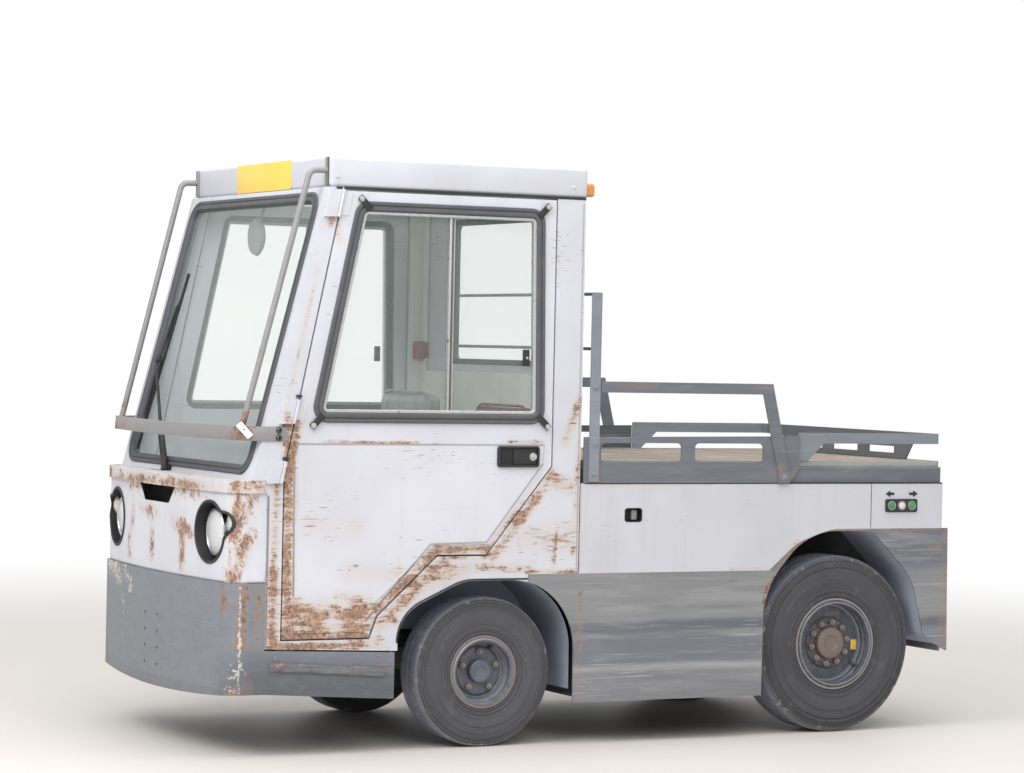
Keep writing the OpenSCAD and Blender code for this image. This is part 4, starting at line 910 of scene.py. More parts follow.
# The CAD nodes that show each finish
SHOWN = {
    "door": ["door_left_shell", "door_right_shell"], "shell": ["cab_shell"], "nose": ["nose_panel"],
    "lip": ["cowl"], "panel": ["side_panels", "rear_panel"], "roof": ["roof"], "bumper": ["front_bumper"],
    "skirt": ["side_skirts", "rear_bumper"], "deck": ["deck_frame"], "rail": ["headboard"],
    "low_rail": ["rear_rail"], "board": ["side_boards"], "guard": ["windscreen_guard"],
    "frame": ["chassis", "front_axle", "drive_axle", "seat_bases"], "housing": ["wheel_housings"],
    "battery": ["battery"], "wood": ["deck_planks"],
    "gasket": ["cab_seals", "door_left_seal", "door_right_seal"], "glass": ["cab_glass"],
    "door_glass": ["door_left_glass", "door_right_glass"],
    "black": ["headlamps", "wipers", "door_left_latch", "door_right_latch"],
    "interior": ["cab_floor", "steering_wheel"], "dash": ["dashboard"],
    "seat": ["seat_cushions", "seat_backs"], "cast": ["tow_coupling", "knuckle_left", "knuckle_right"],
    "bright": ["tow_pin"], "amber": ["lamps"], "front_rim": ["front_left_rim", "front_right_rim"],
    "rear_rim": ["rear_left_rim", "rear_right_rim"], "front_tyre": ["front_left_tyre", "front_right_tyre"],
    "rear_tyre": ["rear_left_tyre", "rear_right_tyre"],
}


class TUG_OT_finishes(bpy.types.Operator):
    """Makes every finish and gives the CAD nodes theirs"""
    bl_idname = "tug.finishes"
    bl_label = "Finishes"

    def execute(self, context):
        c = context.scene.tug_colours
        body, skirt, rail, rust = (tuple(v) for v in (c.body, c.skirt, c.rail, c.rust))
        pale = tone(172, 172, 172)
        # part, base, rust, chips, scrapes, grime, stain, rough and grain, as worn_paint takes them
        for part, *values in (
                ("door", body, rust, -0.05, 0.09, 0.2, 0.8),
                ("shell", darker(body, 0.95), rust, -0.045, 0.095, 0.3, 0.75),
                ("nose", body, rust, -0.02, 0.03, 0.4, 0.55, 0.4, (54, 54, 26)),
                ("lip", body, rust, -0.03, 0.04, 0.5, 0.9, 0.4, (34, 34, 34)),
                ("panel", darker(body, 0.88), rust, -0.09, 0.03, 0.22),
                ("roof", darker(body, 0.92), rust, -0.13, 0.0, 0.1)):
            LOOKS[part] = worn_paint(part, *values)
        # bands, as (lowest z, highest z, colour, weight), in metres
        foot = [(0.0, 0.24, darker(skirt, 0.7), 0.5)]
        # the skirt's bands paint the light and shade of its pressed shape: a paler upper band where it
        # catches the light, a painted shadow under the ridge and a painted highlight on the lower crease
        fold_light_and_shade = [(0.445, 0.62, darker(pale, 0.66), 0.6), (0.1, 0.265, darker(pale, 0.6), 0.5),
                 (0.405, 0.44, darker(skirt, 0.5), 0.6), (0.64, 0.8, darker(skirt, 0.6), 0.5),
                 (0.262, 0.285, pale, 0.55)]
        # the deck's upper ledge is painted paler, a painted highlight where the light falls on it
        rim = [(1.012, 1.1, pale, 0.7)]
        inside = 0.6485
        # part, base, light, rust, scratches, chips, bands, dirt, inner and grain, for scuffed_paint
        for part, *values in (
                ("bumper", darker(skirt, 1.06), pale, rust, 0.3, -0.04, foot, 0.6, 0.0, (16, 16, 34)),
                ("skirt", darker(skirt, 0.93), pale, rust, 1.0, -0.05, fold_light_and_shade, 0.85),
                ("deck", darker(rail, 0.58), pale, rust, 0.4, -0.07, rim),
                ("rail", darker(rail, 1.1), pale, rust, 0.25, -0.04, (), 0.7, inside),
                ("board", darker(rail, 0.68), pale, rust, 0.35, -0.05, (), 0.7, inside),
                ("low_rail", darker(rail, 1.05), pale, rust, 0.35, -0.05, (), 0.55, 0.60),
                ("step", darker(skirt, 0.62), pale, rust, 1.0, 0.07),
                ("frame", tone(44, 45, 48), tone(86, 84, 82), rust, 0.3, -0.04),
                ("housing", tone(156, 162, 178), tone(166, 166, 170), rust, 0.3, -0.06),
                ("guard", tone(146, 144, 146), tone(166, 156, 148), rust, 0.2, 0.0)):
            LOOKS[part] = scuffed_paint(part, *values)
        # wheels, as (end, axle, radius, radius of the rim's flange, of its rusty hub, share of the tone)
        for end, axle, radius, rim, hub, share in (
                ("front", FRONT_AXLE, FRONT_RADIUS, 0.128, 0.0, 1.0),
                ("rear", REAR_AXLE, REAR_RADIUS, 0.178, 0.07, 0.82)):
            centre = Vector((0, axle, radius))
            LOOKS[end + "_tyre"] = wheel_rubber(
                end + "_tyre_rubber", darker(c.tyre, share), centre, radius, TYRE_RINGS[end])
            LOOKS[end + "_rim"] = wheel_paint(end + "_rim_paint", darker(c.rim, share), centre, rim, hub,
                                              rust)
        LOOKS.update({
            "gasket": rubber("gasket_rubber", tuple(c.rubber)),
            "glass": clear_pane("window_glass", tuple(c.glass), 0.13),
            "door_glass": clear_pane("door_glass", tuple(c.glass), 0.08),
            "black": moulded("black_trim", tone(38, 38, 40), 0.5),
            "interior": moulded("interior_trim", tone(196, 198, 200), 0.6, 300.0),
            "lining": moulded("cab_lining", tone(228, 229, 225), 0.7, 160.0),
            "dash": moulded("dash_trim", tone(138, 140, 140), 0.55, 220.0),
            "nut": moulded("wheel_nut_steel", tone(132, 122, 114), 0.5, 200.0),
            "seat": vinyl("seat_vinyl", tuple(c.seat)),
            "far_seat": vinyl("second_seat_vinyl", tuple(c.far_seat)),
            "cast": bare_metal("cast_steel", tone(96, 90, 84), 0.6, 0.03),
            "bright": bare_metal("bright_steel", tone(206, 206, 204), 0.22),
            "alloy": bare_metal("pane_frame_alloy", tone(196, 197, 196), 0.42),
            "mirror": bare_metal("lamp_reflector", tone(236, 236, 234), 0.12, -0.1),
            # near-white, mostly opaque headlamp glass: a painted reflection of the bright lamp
            "lens": lens("headlamp_lens_with_painted_reflection", tone(246, 248, 250), 0.8, 60.0),
            "amber": lens("amber_lens", tone(232, 150, 60), 0.95, 40.0, 0.2),
            "red": lens("red_lens", tone(176, 34, 30), 0.95, 40.0, 0.2),
            "white_lens": lens("white_lens", tone(230, 230, 226), 0.9, 40.0, 0.2),
            "wood": weathered_wood("deck_wood", tuple(c.wood), PLANK_PITCH, deck_low.y),
            "battery": moulded("battery_case", tone(70, 74, 72), 0.7),
            "yellow": moulded("plate_yellow", tuple(c.plate), 0.4, 900.0),
            "label": moulded("blank_label", tone(246, 246, 244), 0.5, 900.0),
            "red_box": moulded("red_case", tone(150, 30, 40), 0.4),
            "green": moulded("green_button", tone(58, 150, 96), 0.35),
            "pink": moulded("pale_button", tone(236, 214, 210), 0.35),
        })
        for look, names in SHOWN.items():
            for name in names:
                for socket in NODES[name].material_slots:
                    socket.material = LOOKS[look]
        return {"FINISHED"}


# Half section of a tyre's wall from the bead to the tread, as (share of the half width, share of the height)
SIDEWALL = (
    (0.80, 0.04), (0.85, 0.09), (0.895, 0.10), (0.905, 0.14), (0.875, 0.16), (0.885, 0.20), (0.92, 0.215),
    (0.93, 0.25), (0.915, 0.265), (0.955, 0.36), (0.985, 0.45), (1.0, 0.50), (1.0, 0.53), (0.975, 0.545),
    (0.978, 0.62), (0.97, 0.70), (0.94, 0.715), (0.94, 0.76), (0.955, 0.775), (0.93, 0.84), (0.90, 0.855),
    (0.90, 0.885), (0.885, 0.925), (0.84, 0.965), (0.77, 0.988), (0.68, 0.998))
# Sections of a rim's barrel and lock ring, as (share of the half width, mm out from the rim's radius)
BARREL = (
    (-0.88, 12), (-0.8, 12), (-0.78, 2), (-0.4, -2), (0.4, -2), (0.76, 2), (0.79, 11), (0.84, 14), (0.9, 12),
    (0.9, 4), (0.86, -1), (0.80, -3), (0.77, -7), (0.66, -8), (0.55, -8), (0.50, -12), (0.3, -13),
    (-0.8, -12))
LOCK_RING = ((0.84, -12), (0.93, -10), (0.95, -4), (0.9, 1), (0.84, -2))


class TUG_OT_tyres(bpy.types.Operator):
    """Four smooth industrial tyres with sidewall rings and shallow grooves"""
    bl_idname = "tug.tyres"
    bl_label = "Tyres"

    def execute(self, context):
        groove = context.scene.tug_sizes.tread_groove / MM
        for end, low, high in (("front", front_low, front_high), ("rear", rear_low, rear_high)):
            rim = RIM_RADIUS[end]
            radius = (high.z - low.z) / 2 / MM
            half = (high.x - low.x) / 2 / MM
            wall = radius - rim
            side = [(0.70, rim - 1)] + [(share, rim + wall * height) for share, height in SIDEWALL]
            tread = [(0.46, radius), (0.45, radius - groove), (0.41, radius - groove), (0.40, radius),
                     (0.06, radius), (0.05, radius - groove)]
            right = [(share * half, r) for share, r in side + tread]
            profile = [(-a, r) for a, r in right] + right[::-1]
            master = lathe(profile, 112)
            for side_name in ("left", "right"):
                node = f"{end}_{side_name}_tyre"
                tyre = copy_of(master, Matrix.Translation(middle(node)))
                finish_piece(tyre, f"tyre_{end}_{side_name}", f"{end}_{side_name}_wheel",
                             f"{end}_tyre", (node,), 40)
            bpy.data.objects.remove(master)
        return {"FINISHED"}


class TUG_OT_rims(bpy.types.Operator):
    """Pressed steel rims with flange rings, dished discs, wheel nuts, hubs and valves"""
    bl_idname = "tug.rims"
    bl_label = "Rims"

    def execute(self, context):
        # end, rim's half width, disc's place, nuts and radius of their circle, hub, valve's turn
        wheels = (("front", 79, 16, 5, 70, 44, 62), ("rear", 95, 26, 10, 80, 62, -36))
        for end, half, disc, nut_count, pitch, hub, valve_turn in wheels:
            rim = RIM_RADIUS[end]
            barrel, lock_ring = (lathe([(half * share, rim + out) for share, out in section], 96)
                                 for section in (BARREL, LOCK_RING))
            dish = lathe([
                (disc - 2, hub - 6), (disc + 8, hub - 2), (disc + 9, pitch + 14), (disc + 3, pitch + 20),
                (disc + 2, rim - 26), (disc + 8, rim - 18), (disc + 9, rim - 8), (disc - 1, rim - 8),
                (disc - 6, rim - 24), (disc - 6, pitch + 18), (disc - 1, pitch + 12)], 96)
            cap = lathe([
                (disc - 10, 0.0), (disc + 31, 0.0), (disc + 31, hub * 0.4), (disc + 34, hub * 0.46),
                (disc + 34, hub * 0.84), (disc + 31, hub * 0.94), (disc + 12, hub), (disc - 10, hub)], 48)
            turns = [math.tau * (i + 0.25) / nut_count for i in range(nut_count)]
            spots = [Vector(((disc + 8) * MM, math.cos(turn) * pitch * MM, math.sin(turn) * pitch * MM))
                     for turn in turns]
            nut_set = bolts([(spot, LEFT) for spot in spots], 0.0125, 0.016, False)
            studs = bolts([(spot + LEFT * 0.014, LEFT) for spot in spots], 0.006, 0.010, False, 12)
            stem = bar(Vector(((disc + 4) * MM, 0, (rim - 26) * MM)),
                       Vector(((disc + 38) * MM, 0, (rim - 22) * MM)), 0.006, 12, 0.001)
            valve = moved_to(stem, Matrix.Rotation(math.radians(valve_turn - 90), 4, "X"))
            parts = [(piece, end + "_rim") for piece in (barrel, lock_ring, dish, cap)]
            parts += [(nut_set, "nut"), (studs, "nut"), (valve, "gasket")]
            if end == "rear":
                sticker = block(Vector(((disc + 3) * MM, 0.108, -0.030)),
                                Vector(((disc + 4.4) * MM, 0.133, 0.008)), 0.0005)
                parts.append((sticker, "yellow"))
            for piece, look in parts:
                paint(piece, look)
                smooth(piece)
            master = join([piece for piece, look in parts])
            for side_name, sign in (("left", 1), ("right", -1)):
                place = Matrix.Translation(middle(f"{end}_{side_name}_tyre"))
                rim_piece = copy_of(master, place if sign > 0 else place @ MIRROR)
                finish_piece(rim_piece, f"rim_{end}_{side_name}",
                             f"{end}_{side_name}_wheel", None, (f"{end}_{side_name}_rim",))
            bpy.data.objects.remove(master)
        return {"FINISHED"}


class TUG_OT_roof(bpy.types.Operator):
    """Roof cap with rounded edges, its rubber seam and small fixings"""
    bl_idname = "tug.roof"
    bl_label = "Roof"

    def execute(self, context):
        edge = context.scene.tug_sizes.roof_edge
        cap = block(roof_low, roof_high, edge, 4)
        sunk_face(cap, -UP, 0.2, 0.032, (0, 0, 0.062))
        finish_piece(cap, "roof_cap", look="roof", hides=("roof",))
        seam = []
        side = BODY_SIDE
        for sign in (1, -1):
            seam.append(slab((sign * (side - 3), -606, ROOF_BOTTOM - 7),
                             (sign * (side + 1.2), 352, ROOF_BOTTOM + 2)))
        seam.append(slab((-side + 20, 350, ROOF_BOTTOM - 6), (side - 20, 356, ROOF_BOTTOM + 1)))
        finish_piece(join(seam), "roof_seam", look="black")
        lining = slab((-BODY_SIDE + 48, -600, ROOF_BOTTOM + 48), (BODY_SIDE - 48, 300, ROOF_BOTTOM + 56),
                      0.003)
        finish_piece(lining, "roof_lining", look="lining")
        height = ROOF_BOTTOM + 38
        screws = bolts(side_spots((-632, height, 0), (300, height, 0)), 0.008, 0.003, False, 16)
        knobs = bolts([(at(430, -60, ROOF_TOP - 3), UP)], 0.004, 0.0028, False, 12)
        finish_piece(join([screws, knobs]), "roof_screws", look="roof")
        return {"FINISHED"}


def window_rubber(outline, plane, width, height, deep):
    """Window rubber with a filler strip between its two beads."""
    profile = [
        (0.0, 0.0), (-0.5, height * 0.55), (-3.0, height * 0.92), (-8.0, height), (-12.5, height * 0.86),
        (-14.0, height * 0.5), (-17.5, height * 0.5), (-19.0, height * 0.86), (-width + 12, height),
        (-width + 5, height * 0.9), (-width + 1.5, height * 0.5), (-width, 0.0), (-width, -deep),
        (-14.6, -deep), (-14.6, -0.2)]
    return sweep(outline, profile, plane)


def window_clips(corners, plane, length_mm, centre):
    """Straps across a window's corners, each with its bolt."""
    straps, spots = [], []
    for a, b in corners:
        way = (Vector(centre) - Vector((a, b))).normalized()
        way = Vector((math.copysign(0.7071, way.x), math.copysign(0.7071, way.y)))
        across = Vector((-way.y, way.x)) * 12
        start, end = Vector((a, b)) - way * 6, Vector((a, b)) + way * (length_mm - 6)
        outline = rounded([(*(start + across), 5), (*(start - across), 5), (*(end - across), 3),
                           (*(end + across), 3)], 3)
        straps.append(plate(outline, plane, 7.5, 12.5, 0.001))
        point = start + way * 10
        spots.append((plane(point.x, point.y, 12.0), plane(0, 0, 1) - plane(0, 0, 0)))
    strap = paint(join(straps), "black")
    studs = paint(bolts(spots, 0.007, 0.004, True, 12), "bright")
    return join([strap, studs])


DOOR_WINDOW = [(-555, 1940, 55), (-719, 1163, 55), (200, 1163, 55), (186, 1940, 55)]


def shrunk(corners, inset):
    """Outline corners moved inwards."""
    outline = rounded([(a, b, 0) for a, b, r in corners])
    radius = max(min(r for a, b, r in corners) - inset, 6)
    moved = []
    for i, (a, b) in enumerate(outline):
        here = Vector((a, b))
        back = (Vector(outline[i - 1]) - here).normalized()
        ahead = (Vector(outline[(i + 1) % len(outline)]) - here).normalized()
        half = back.angle(ahead) / 2
        point = here + (back + ahead).normalized() * inset / math.sin(half)
        moved.append((point.x, point.y, radius))
    return moved


class TUG_OT_windows(bpy.types.Operator):
    """Rubbers, corner clips and bright pane frames of all the windows"""
    bl_idname = "tug.windows"
    bl_label = "Windows"

    def execute(self, context):
        sizes = context.scene.tug_sizes
        width = sizes.gasket_width / MM
        height = sizes.gasket_height / MM
        length_along = (ROOF_BOTTOM - SCREEN_FOOT[1]) / math.cos(SCREEN_TILT)
        half = BODY_SIDE - 38
        screen = rounded([(half, 17, 78), (half, length_along - 17, 78), (-half, length_along - 17, 78),
                          (-half, 17, 78)], 10)
        finish_piece(window_rubber(screen, on_screen, width, height, 24), "windscreen_rubber",
                     look="gasket", hides=("cab_seals",))
        back = BODY_SIDE - 225
        rear = rounded([(back, 1355, 60), (back, ROOF_BOTTOM - 40, 60), (-back, ROOF_BOTTOM - 40, 60),
                        (-back, 1355, 60)], 8)
        finish_piece(window_rubber(rear, rear_side(CAB_BACK), width, height - 1, 24), "rear_window_rubber",
                     look="gasket")
        bodies = ("door_left", "door_right")
        outline = rounded(DOOR_WINDOW, 9)
        ring = window_rubber(outline, left_side, width, height, 28)
        both_sides(ring, "door_window_rubber", bodies, "gasket",
                   (("door_left_seal",), ("door_right_seal",)))
        inner = rounded(shrunk(DOOR_WINDOW, width - 1), 6)
        frame_width = sizes.pane_frame / MM
        bright = sweep(inner, [(0, -16), (0, 2), (-2, 4), (-frame_width + 2, 4), (-frame_width, 2),
                               (-frame_width, -16)], left_side)
        foot, head = 1199, 1904
        post = slab((BODY_SIDE - 14, -193, foot), (BODY_SIDE + 1, -184, head), 0.0015)
        rail = slab((BODY_SIDE - 24, -176, foot), (BODY_SIDE - 10, -166, head), 0.0015)
        both_sides(join([bright, post, rail]), "door_pane_frame", bodies, "alloy")
        strip = slab((BODY_SIDE - 16, -184, foot), (BODY_SIDE - 1, -175, head), 0.002)
        both_sides(strip, "door_pane_seal", bodies, "gasket")
        clips = window_clips([(-712, 1150), (-545, 1950), (198, 1950), (212, 1152)], left_side,
                             sizes.clip_length / MM, (-200, 1550))
        both_sides(clips, "door_window_clips", bodies)
        catch = slab((BODY_SIDE - 12, 112, 1372), (BODY_SIDE + 3, 134, 1432), 0.002)
        paint(catch, "black")
        stud = paint(bolts([(at(BODY_SIDE + 3, 123, 1402), LEFT)], 0.005, 0.003, False, 12), "bright")
        both_sides(join([catch, stud]), "door_pane_catch", bodies)
        return {"FINISHED"}


class TUG_OT_latches(bpy.types.Operator):
    """Paddle latches outside the doors and pull handles inside them"""
    bl_idname = "tug.latches"
    bl_label = "Door latches"

    def execute(self, context):
        back = (node_box("door_left_latch")[1].y - FRONT_AXLE) / MM
        long, half_high = 168, 38
        front, top, bottom = back - long, LATCH_HEIGHT + half_high, LATCH_HEIGHT - half_high
        base = 3
        rim = sweep(rectangle(front, back, bottom, top, 10, 5),
                    [(0, base - 1), (0, base + 8), (-2, base + 11), (-7, base + 11), (-9, base + 8),
                     (-9, base - 1)],
                    left_side)
        floor = slab((BODY_SIDE + base - 1, front + 4, bottom + 4),
                     (BODY_SIDE + base + 1.5, back - 4, top - 4))
        paddle = slab((BODY_SIDE + base, front + 62, bottom + 10),
                      (BODY_SIDE + base + 8, back - 14, top - 10), 0.003, 3)
        sunk_face(paddle, LEFT, 0.001, 0.005, (-0.0016, 0, 0))
        ribs = [slab((BODY_SIDE + base + 1, front + 18 + i * 11, bottom + 14),
                     (BODY_SIDE + base + 4, front + 23 + i * 11, top - 14), 0.001)
                for i in range(4)]
        shell = paint(join([rim, floor, paddle] + ribs), "black")
        key = paint(bolts([(at(BODY_SIDE + base + 7, back - 26, LATCH_HEIGHT), LEFT)], 0.010, 0.004, True,
                          24), "bright")
        lever = slab((BODY_SIDE - 60, back - 109, 1070), (BODY_SIDE - 37, back - 19, 1104), 0.006, 3)
        paint(lever, "black")
        both_sides(join([shell, key, lever]), "door_latch", ("door_left", "door_right"), None,
                   (("door_left_latch",), ("door_right_latch",)))
        return {"FINISHED"}


class TUG_OT_guard(bpy.types.Operator):
    """Windscreen guard: bent tubes, roof brackets, flat bar, bolts and a blank tag"""
    bl_idname = "tug.guard"
    bl_label = "Windscreen guard"

    def execute(self, context):
        radius = context.scene.tug_sizes.guard_tube
        side = BODY_SIDE
        bar_heights = (1098, 1148)
        parts = []
        for sign in (1, -1):
            points = [at(sign * (side - 30), -655, ROOF_TOP - 50),
                      at(sign * (side - 30), -724, ROOF_TOP - 52),
                      at(sign * (side - 44), -962, 1112)]
            parts.append(tube(bent_path(points, 0.034, 9), radius))
            parts.append(slab((sign * (side - 42), -663, ROOF_BOTTOM + 4),
                              (sign * (side - 18), -657, ROOF_TOP - 4), 0.0015))
            parts.append(slab((sign * (side - 24), -663, ROOF_BOTTOM + 4),
                              (sign * (side - 18), -640, ROOF_TOP - 4), 0.0012))
            parts.append(slab((sign * (side - 52), -980, 1100), (sign * (side - 38), -958, 1128), 0.002))
        outline = [(side + 1, -806), (side + 6, -806), (side + 6, -905), (side - 29, -974), (0, -1042),
                   (-side + 29, -974), (-side - 6, -905), (-side - 6, -806), (-side - 1, -806),
                   (-side - 1, -903), (-side + 35, -968), (0, -1036), (side - 35, -968), (side + 1, -903)]
        outline = rounded([(a, b, 0) for a, b in outline])
        parts.append(plate(outline, at, *bar_heights, 0.0012))
        paint(join(parts), "guard")
        piece = bpy.context.object
        # each bolt is made of two hexagons, turned against each other
        spots = side_spots((-836, 1110, 6), (-836, 1136, 6), (-836, 1110, 6), (-836, 1136, 6))
        studs = paint(bolts(spots, 0.008, 0.006), "alloy")
        finish_piece(join([piece, studs]), "windscreen_guard_tubes",
                     hides=("windscreen_guard",))
        tag = block(Vector((-0.0011, -0.031, -0.012)), Vector((0.0011, 0.031, 0.012)), 0.0008)
        hole = bar(Vector((-0.0016, -0.004, 0.001)), Vector((0.0016, -0.004, 0.001)), 0.003, 16)
        paint(tag, "label")
        paint(hole, "black")
        tag = join([tag, hole])
        turn = Matrix.Rotation(math.radians(-20), 4, "Z") @ Matrix.Rotation(math.radians(-48), 4, "X")
        finish_piece(moved_to(tag, Matrix.Translation(at(side - 12, -957, 1134)) @ turn), "blank_tag")
        return {"FINISHED"}


# The nose from above, in millimetres: a wide bow across the front, and rounded corners
BOW_RADIUS, BOW_CENTRE = 4490, 3453
CORNER_RADIUS, CORNER_CENTRE, CORNER_START = 75, (565, -925.7), 574.6
LAMP_PLACE = (470, 775)
# Corners of the air slot, sideways and in height
SLOT = ((-182, 918), (182, 918), (125, 856), (-125, 856))


def nose_front(x):
    """Station of the nose's surface, bowed across the front and rounded at its corners."""
    x = abs(x)
    if x < CORNER_START:
        return BOW_CENTRE - math.sqrt(BOW_RADIUS ** 2 - x * x)
    return CORNER_CENTRE[1] - math.sqrt(max(CORNER_RADIUS ** 2 - (x - CORNER_CENTRE[0]) ** 2, 0))


def across_front(a, b, up):
    """Plane across the tug: sideways, height and the station itself."""
    return at(a, up, b)


def on_nose(a, b, up):
    """Surface of the nose: sideways, height and how far out."""
    return at(a, nose_front(a) - up, b)


def lamp_outline(inset=0.0, count=72):
    """A headlamp's opening: a circle with a lobe outwards and up for the indicator."""
    main, lobe, away, lean = 109.0, 43.0, 114.0, math.radians(18)
    reach = []
    for i in range(count):
        turn = math.tau * i / count - lean
        across = away * math.sin(turn)
        far = 0
        if abs(across) < lobe and math.cos(turn) > 0:
            far = away * math.cos(turn) + math.sqrt(lobe ** 2 - across ** 2)
        reach.append(max(main, far))
    for pass_number in range(2):
        reach = [(reach[i - 1] + 2 * reach[i] + reach[(i + 1) % count]) / 4 for i in range(count)]
    return [(LAMP_PLACE[0] + (r - inset) * math.cos(math.tau * i / count),
             LAMP_PLACE[1] + (r - inset) * math.sin(math.tau * i / count)) for i, r in enumerate(reach)]


class TUG_OT_nose(bpy.types.Operator):
    """Bowed nose panel with its lamp openings and the air slot"""
    bl_idname = "tug.nose"
    bl_label = "Nose panel"

    def execute(self, context):
        low, high = node_box("nose_panel")
        back = (high.y - FRONT_AXLE) / MM
        half, sheet = high.x / MM, 4
        across = [half * math.cos(math.pi * i / 48) for i in range(49)]
        across += [sign * (CORNER_CENTRE[0] + CORNER_RADIUS * math.sin(step * 0.13))
                   for step in range(12) for sign in (1, -1)]
        across = sorted(set(across))
        outer = [(-half, back)] + [(x, nose_front(x)) for x in across] + [(half, back)]
        shrink = (half - sheet) / half
        inner = [(x * shrink, y + sheet if abs(x) < half - 1 else y) for x, y in outer]
        skin = plate(outer + inner[::-1], at, low.z / MM, high.z / MM)
        through = (-1100, -900)
        cutters = [plate(lamp_outline(), across_front, *through)]
        cutters.append(copy_of(cutters[0], MIRROR))
        cutters.append(plate(SLOT, across_front, *through))
        cutter = join(cutters)
        modify(skin, "BOOLEAN", operation="DIFFERENCE", solver="EXACT", object=cutter)
        bpy.data.objects.remove(cutter)
        finish_piece(skin, "nose_skin", look="nose", hides=("nose_panel",))
        return {"FINISHED"}


class TUG_OT_headlamps(bpy.types.Operator):
    """Headlamps with reflectors, fluted lenses, bright rings and the round indicators"""
    bl_idname = "tug.headlamps"
    bl_label = "Headlamps"

    def execute(self, context):
        nose_face = -1037
        outline = lamp_outline()
        rubber_edge = sweep(outline, [(3, 0), (3, 3), (0, 5), (-5, 5), (-7, 2), (-7, -14), (0, -14), (0, -2)],
                            on_nose)
        tub = sweep(outline, [(-1, -2), (-4, -2), (-10, -86), (-7, -86)], on_nose)
        floor = plate(lamp_outline(9), on_nose, -88, -82)
        shell = paint(join([rubber_edge, tub, floor]), "black")

        def lamp(radius, face, x, z, look_lens, depth):
            bowl = lathe([(face - 6, radius - 2), (face - depth * 0.35, radius * 0.86),
                          (face - depth * 0.75, radius * 0.5), (face - depth, 1.0), (face - depth - 3, 1.0),
                          (face - depth * 0.75 - 3, radius * 0.54), (face - depth * 0.35 - 2, radius * 0.92),
                          (face - 8, radius + 2)], 48)
            ring = lathe([(face - 10, radius - 1), (face - 2, radius - 3), (face + 2, radius - 1),
                          (face + 3, radius + 3), (face - 1, radius + 7), (face - 12, radius + 7)], 64)
            glass = lathe([(face - 2, radius - 1), (face + 3, radius * 0.9), (face + 8, radius * 0.6),
                           (face + 10, radius * 0.3), (face + 11, 0.0), (face + 8, 0.0),
                           (face + 7, radius * 0.3), (face + 5, radius * 0.6), (face, radius * 0.88),
                           (face - 4, radius - 1)], 64)
            bulb = lathe([(face - depth, 0.0), (face - depth * 0.45, 0.0), (face - depth * 0.45, 5.0),
                          (face - depth * 0.6, 8.0), (face - depth, 8.0)], 24)
            made = []
            turn = Matrix.Translation(at(x, nose_face, z)) @ Matrix.Rotation(-math.pi / 2, 4, "Z")
            for piece, look in ((bowl, "mirror"), (ring, "bright"), (glass, look_lens), (bulb, "label")):
                paint(piece, look)
                smooth(piece, 40)
                made.append(moved_to(piece, turn))
            return made

        lamp_z = LAMP_PLACE[1] - 2
        parts = [shell] + lamp(78, -50, BODY_SIDE - 192, lamp_z, "lens", 40)
        parts += lamp(33, -62, BODY_SIDE - 70, lamp_z + 38, "white_lens", 22)
        bracket = slab((BODY_SIDE - 118, -958, lamp_z - 30), (BODY_SIDE - 104, -950, lamp_z + 62), 0.002)
        paint(bracket, "black")
        both_sides(join(parts + [bracket]), "headlamp", hides=(("headlamps",), ()))
        return {"FINISHED"}


class TUG_OT_wiper(bpy.types.Operator):
    """Wiper arm, blade and spindle on the windscreen"""
    bl_idname = "tug.wiper"
    bl_label = "Wiper"

    def execute(self, context):
        foot, grip = Vector((-140, 6)), Vector((-476, 408))
        way = (grip - foot).normalized()
        across = Vector((-way.y, way.x))
        lean = Vector((math.sin(math.radians(4.8)), math.cos(math.radians(4.8))))
        reach = lean * 345
        hub = bar(*over_glass((foot, 0), (foot, 27)), 0.012, 24, 0.002)
        cap = bar(*over_glass((foot, 20), (foot, 33)), 0.016, 24, 0.003)
        arm = tube(over_glass((foot, 22), (foot + way * 150, 30), (grip - way * 60, 40), (grip, 22)), 0.006)
        sleeve = tube(over_glass((foot - way * 14, 22), (foot + way * 180, 32)), 0.0125)
        link = tube(over_glass((foot + across * 26, 18), (grip + across * 22 - way * 20, 30), (grip, 26)),
                    0.004)
        blade = tube(over_glass((grip - reach, 12), (grip + reach, 12)), 0.0052)
        edge = tube(over_glass((grip - reach, 7), (grip + reach, 7)), 0.003)
        claws = [tube(over_glass((grip + reach * share, 10), (grip + reach * share * 0.6, 22)), 0.0042)
                 for share in (-0.8, -0.4, 0.4, 0.8)]
        bridge = tube(over_glass((grip - lean * 215, 20), (grip, 27), (grip + lean * 215, 20)), 0.0055)
        knuckle = bar(*over_glass((grip, 12), (grip, 40)), 0.013, 20, 0.002)
        piece = join([hub, cap, arm, sleeve, link, blade, edge, bridge, knuckle] + claws)
        finish_piece(piece, "wiper", look="black", hides=("wipers",))
        return {"FINISHED"}


class TUG_OT_plates(bpy.types.Operator):
    """Blank yellow plate on the roof's front, and blank labels"""
    bl_idname = "tug.plates"
    bl_label = "Blank plates"

    def execute(self, context):
        front = -657
        board = plate(rectangle(-218, 298, 1988, 2092, 8),
                      lambda a, b, up: at(a, front - up, b), 0, 2.5, 0.0008)
        finish_piece(board, "blank_plate", look="yellow")
        sticker = plate(rectangle(-40, 0, 1490, 1690, 3, 3),
                        lambda a, b, up: at(-604 + up, 330 + a, b), 0, 1.5)
        finish_piece(sticker, "cab_blank_sticker", look="label")
        return {"FINISHED"}


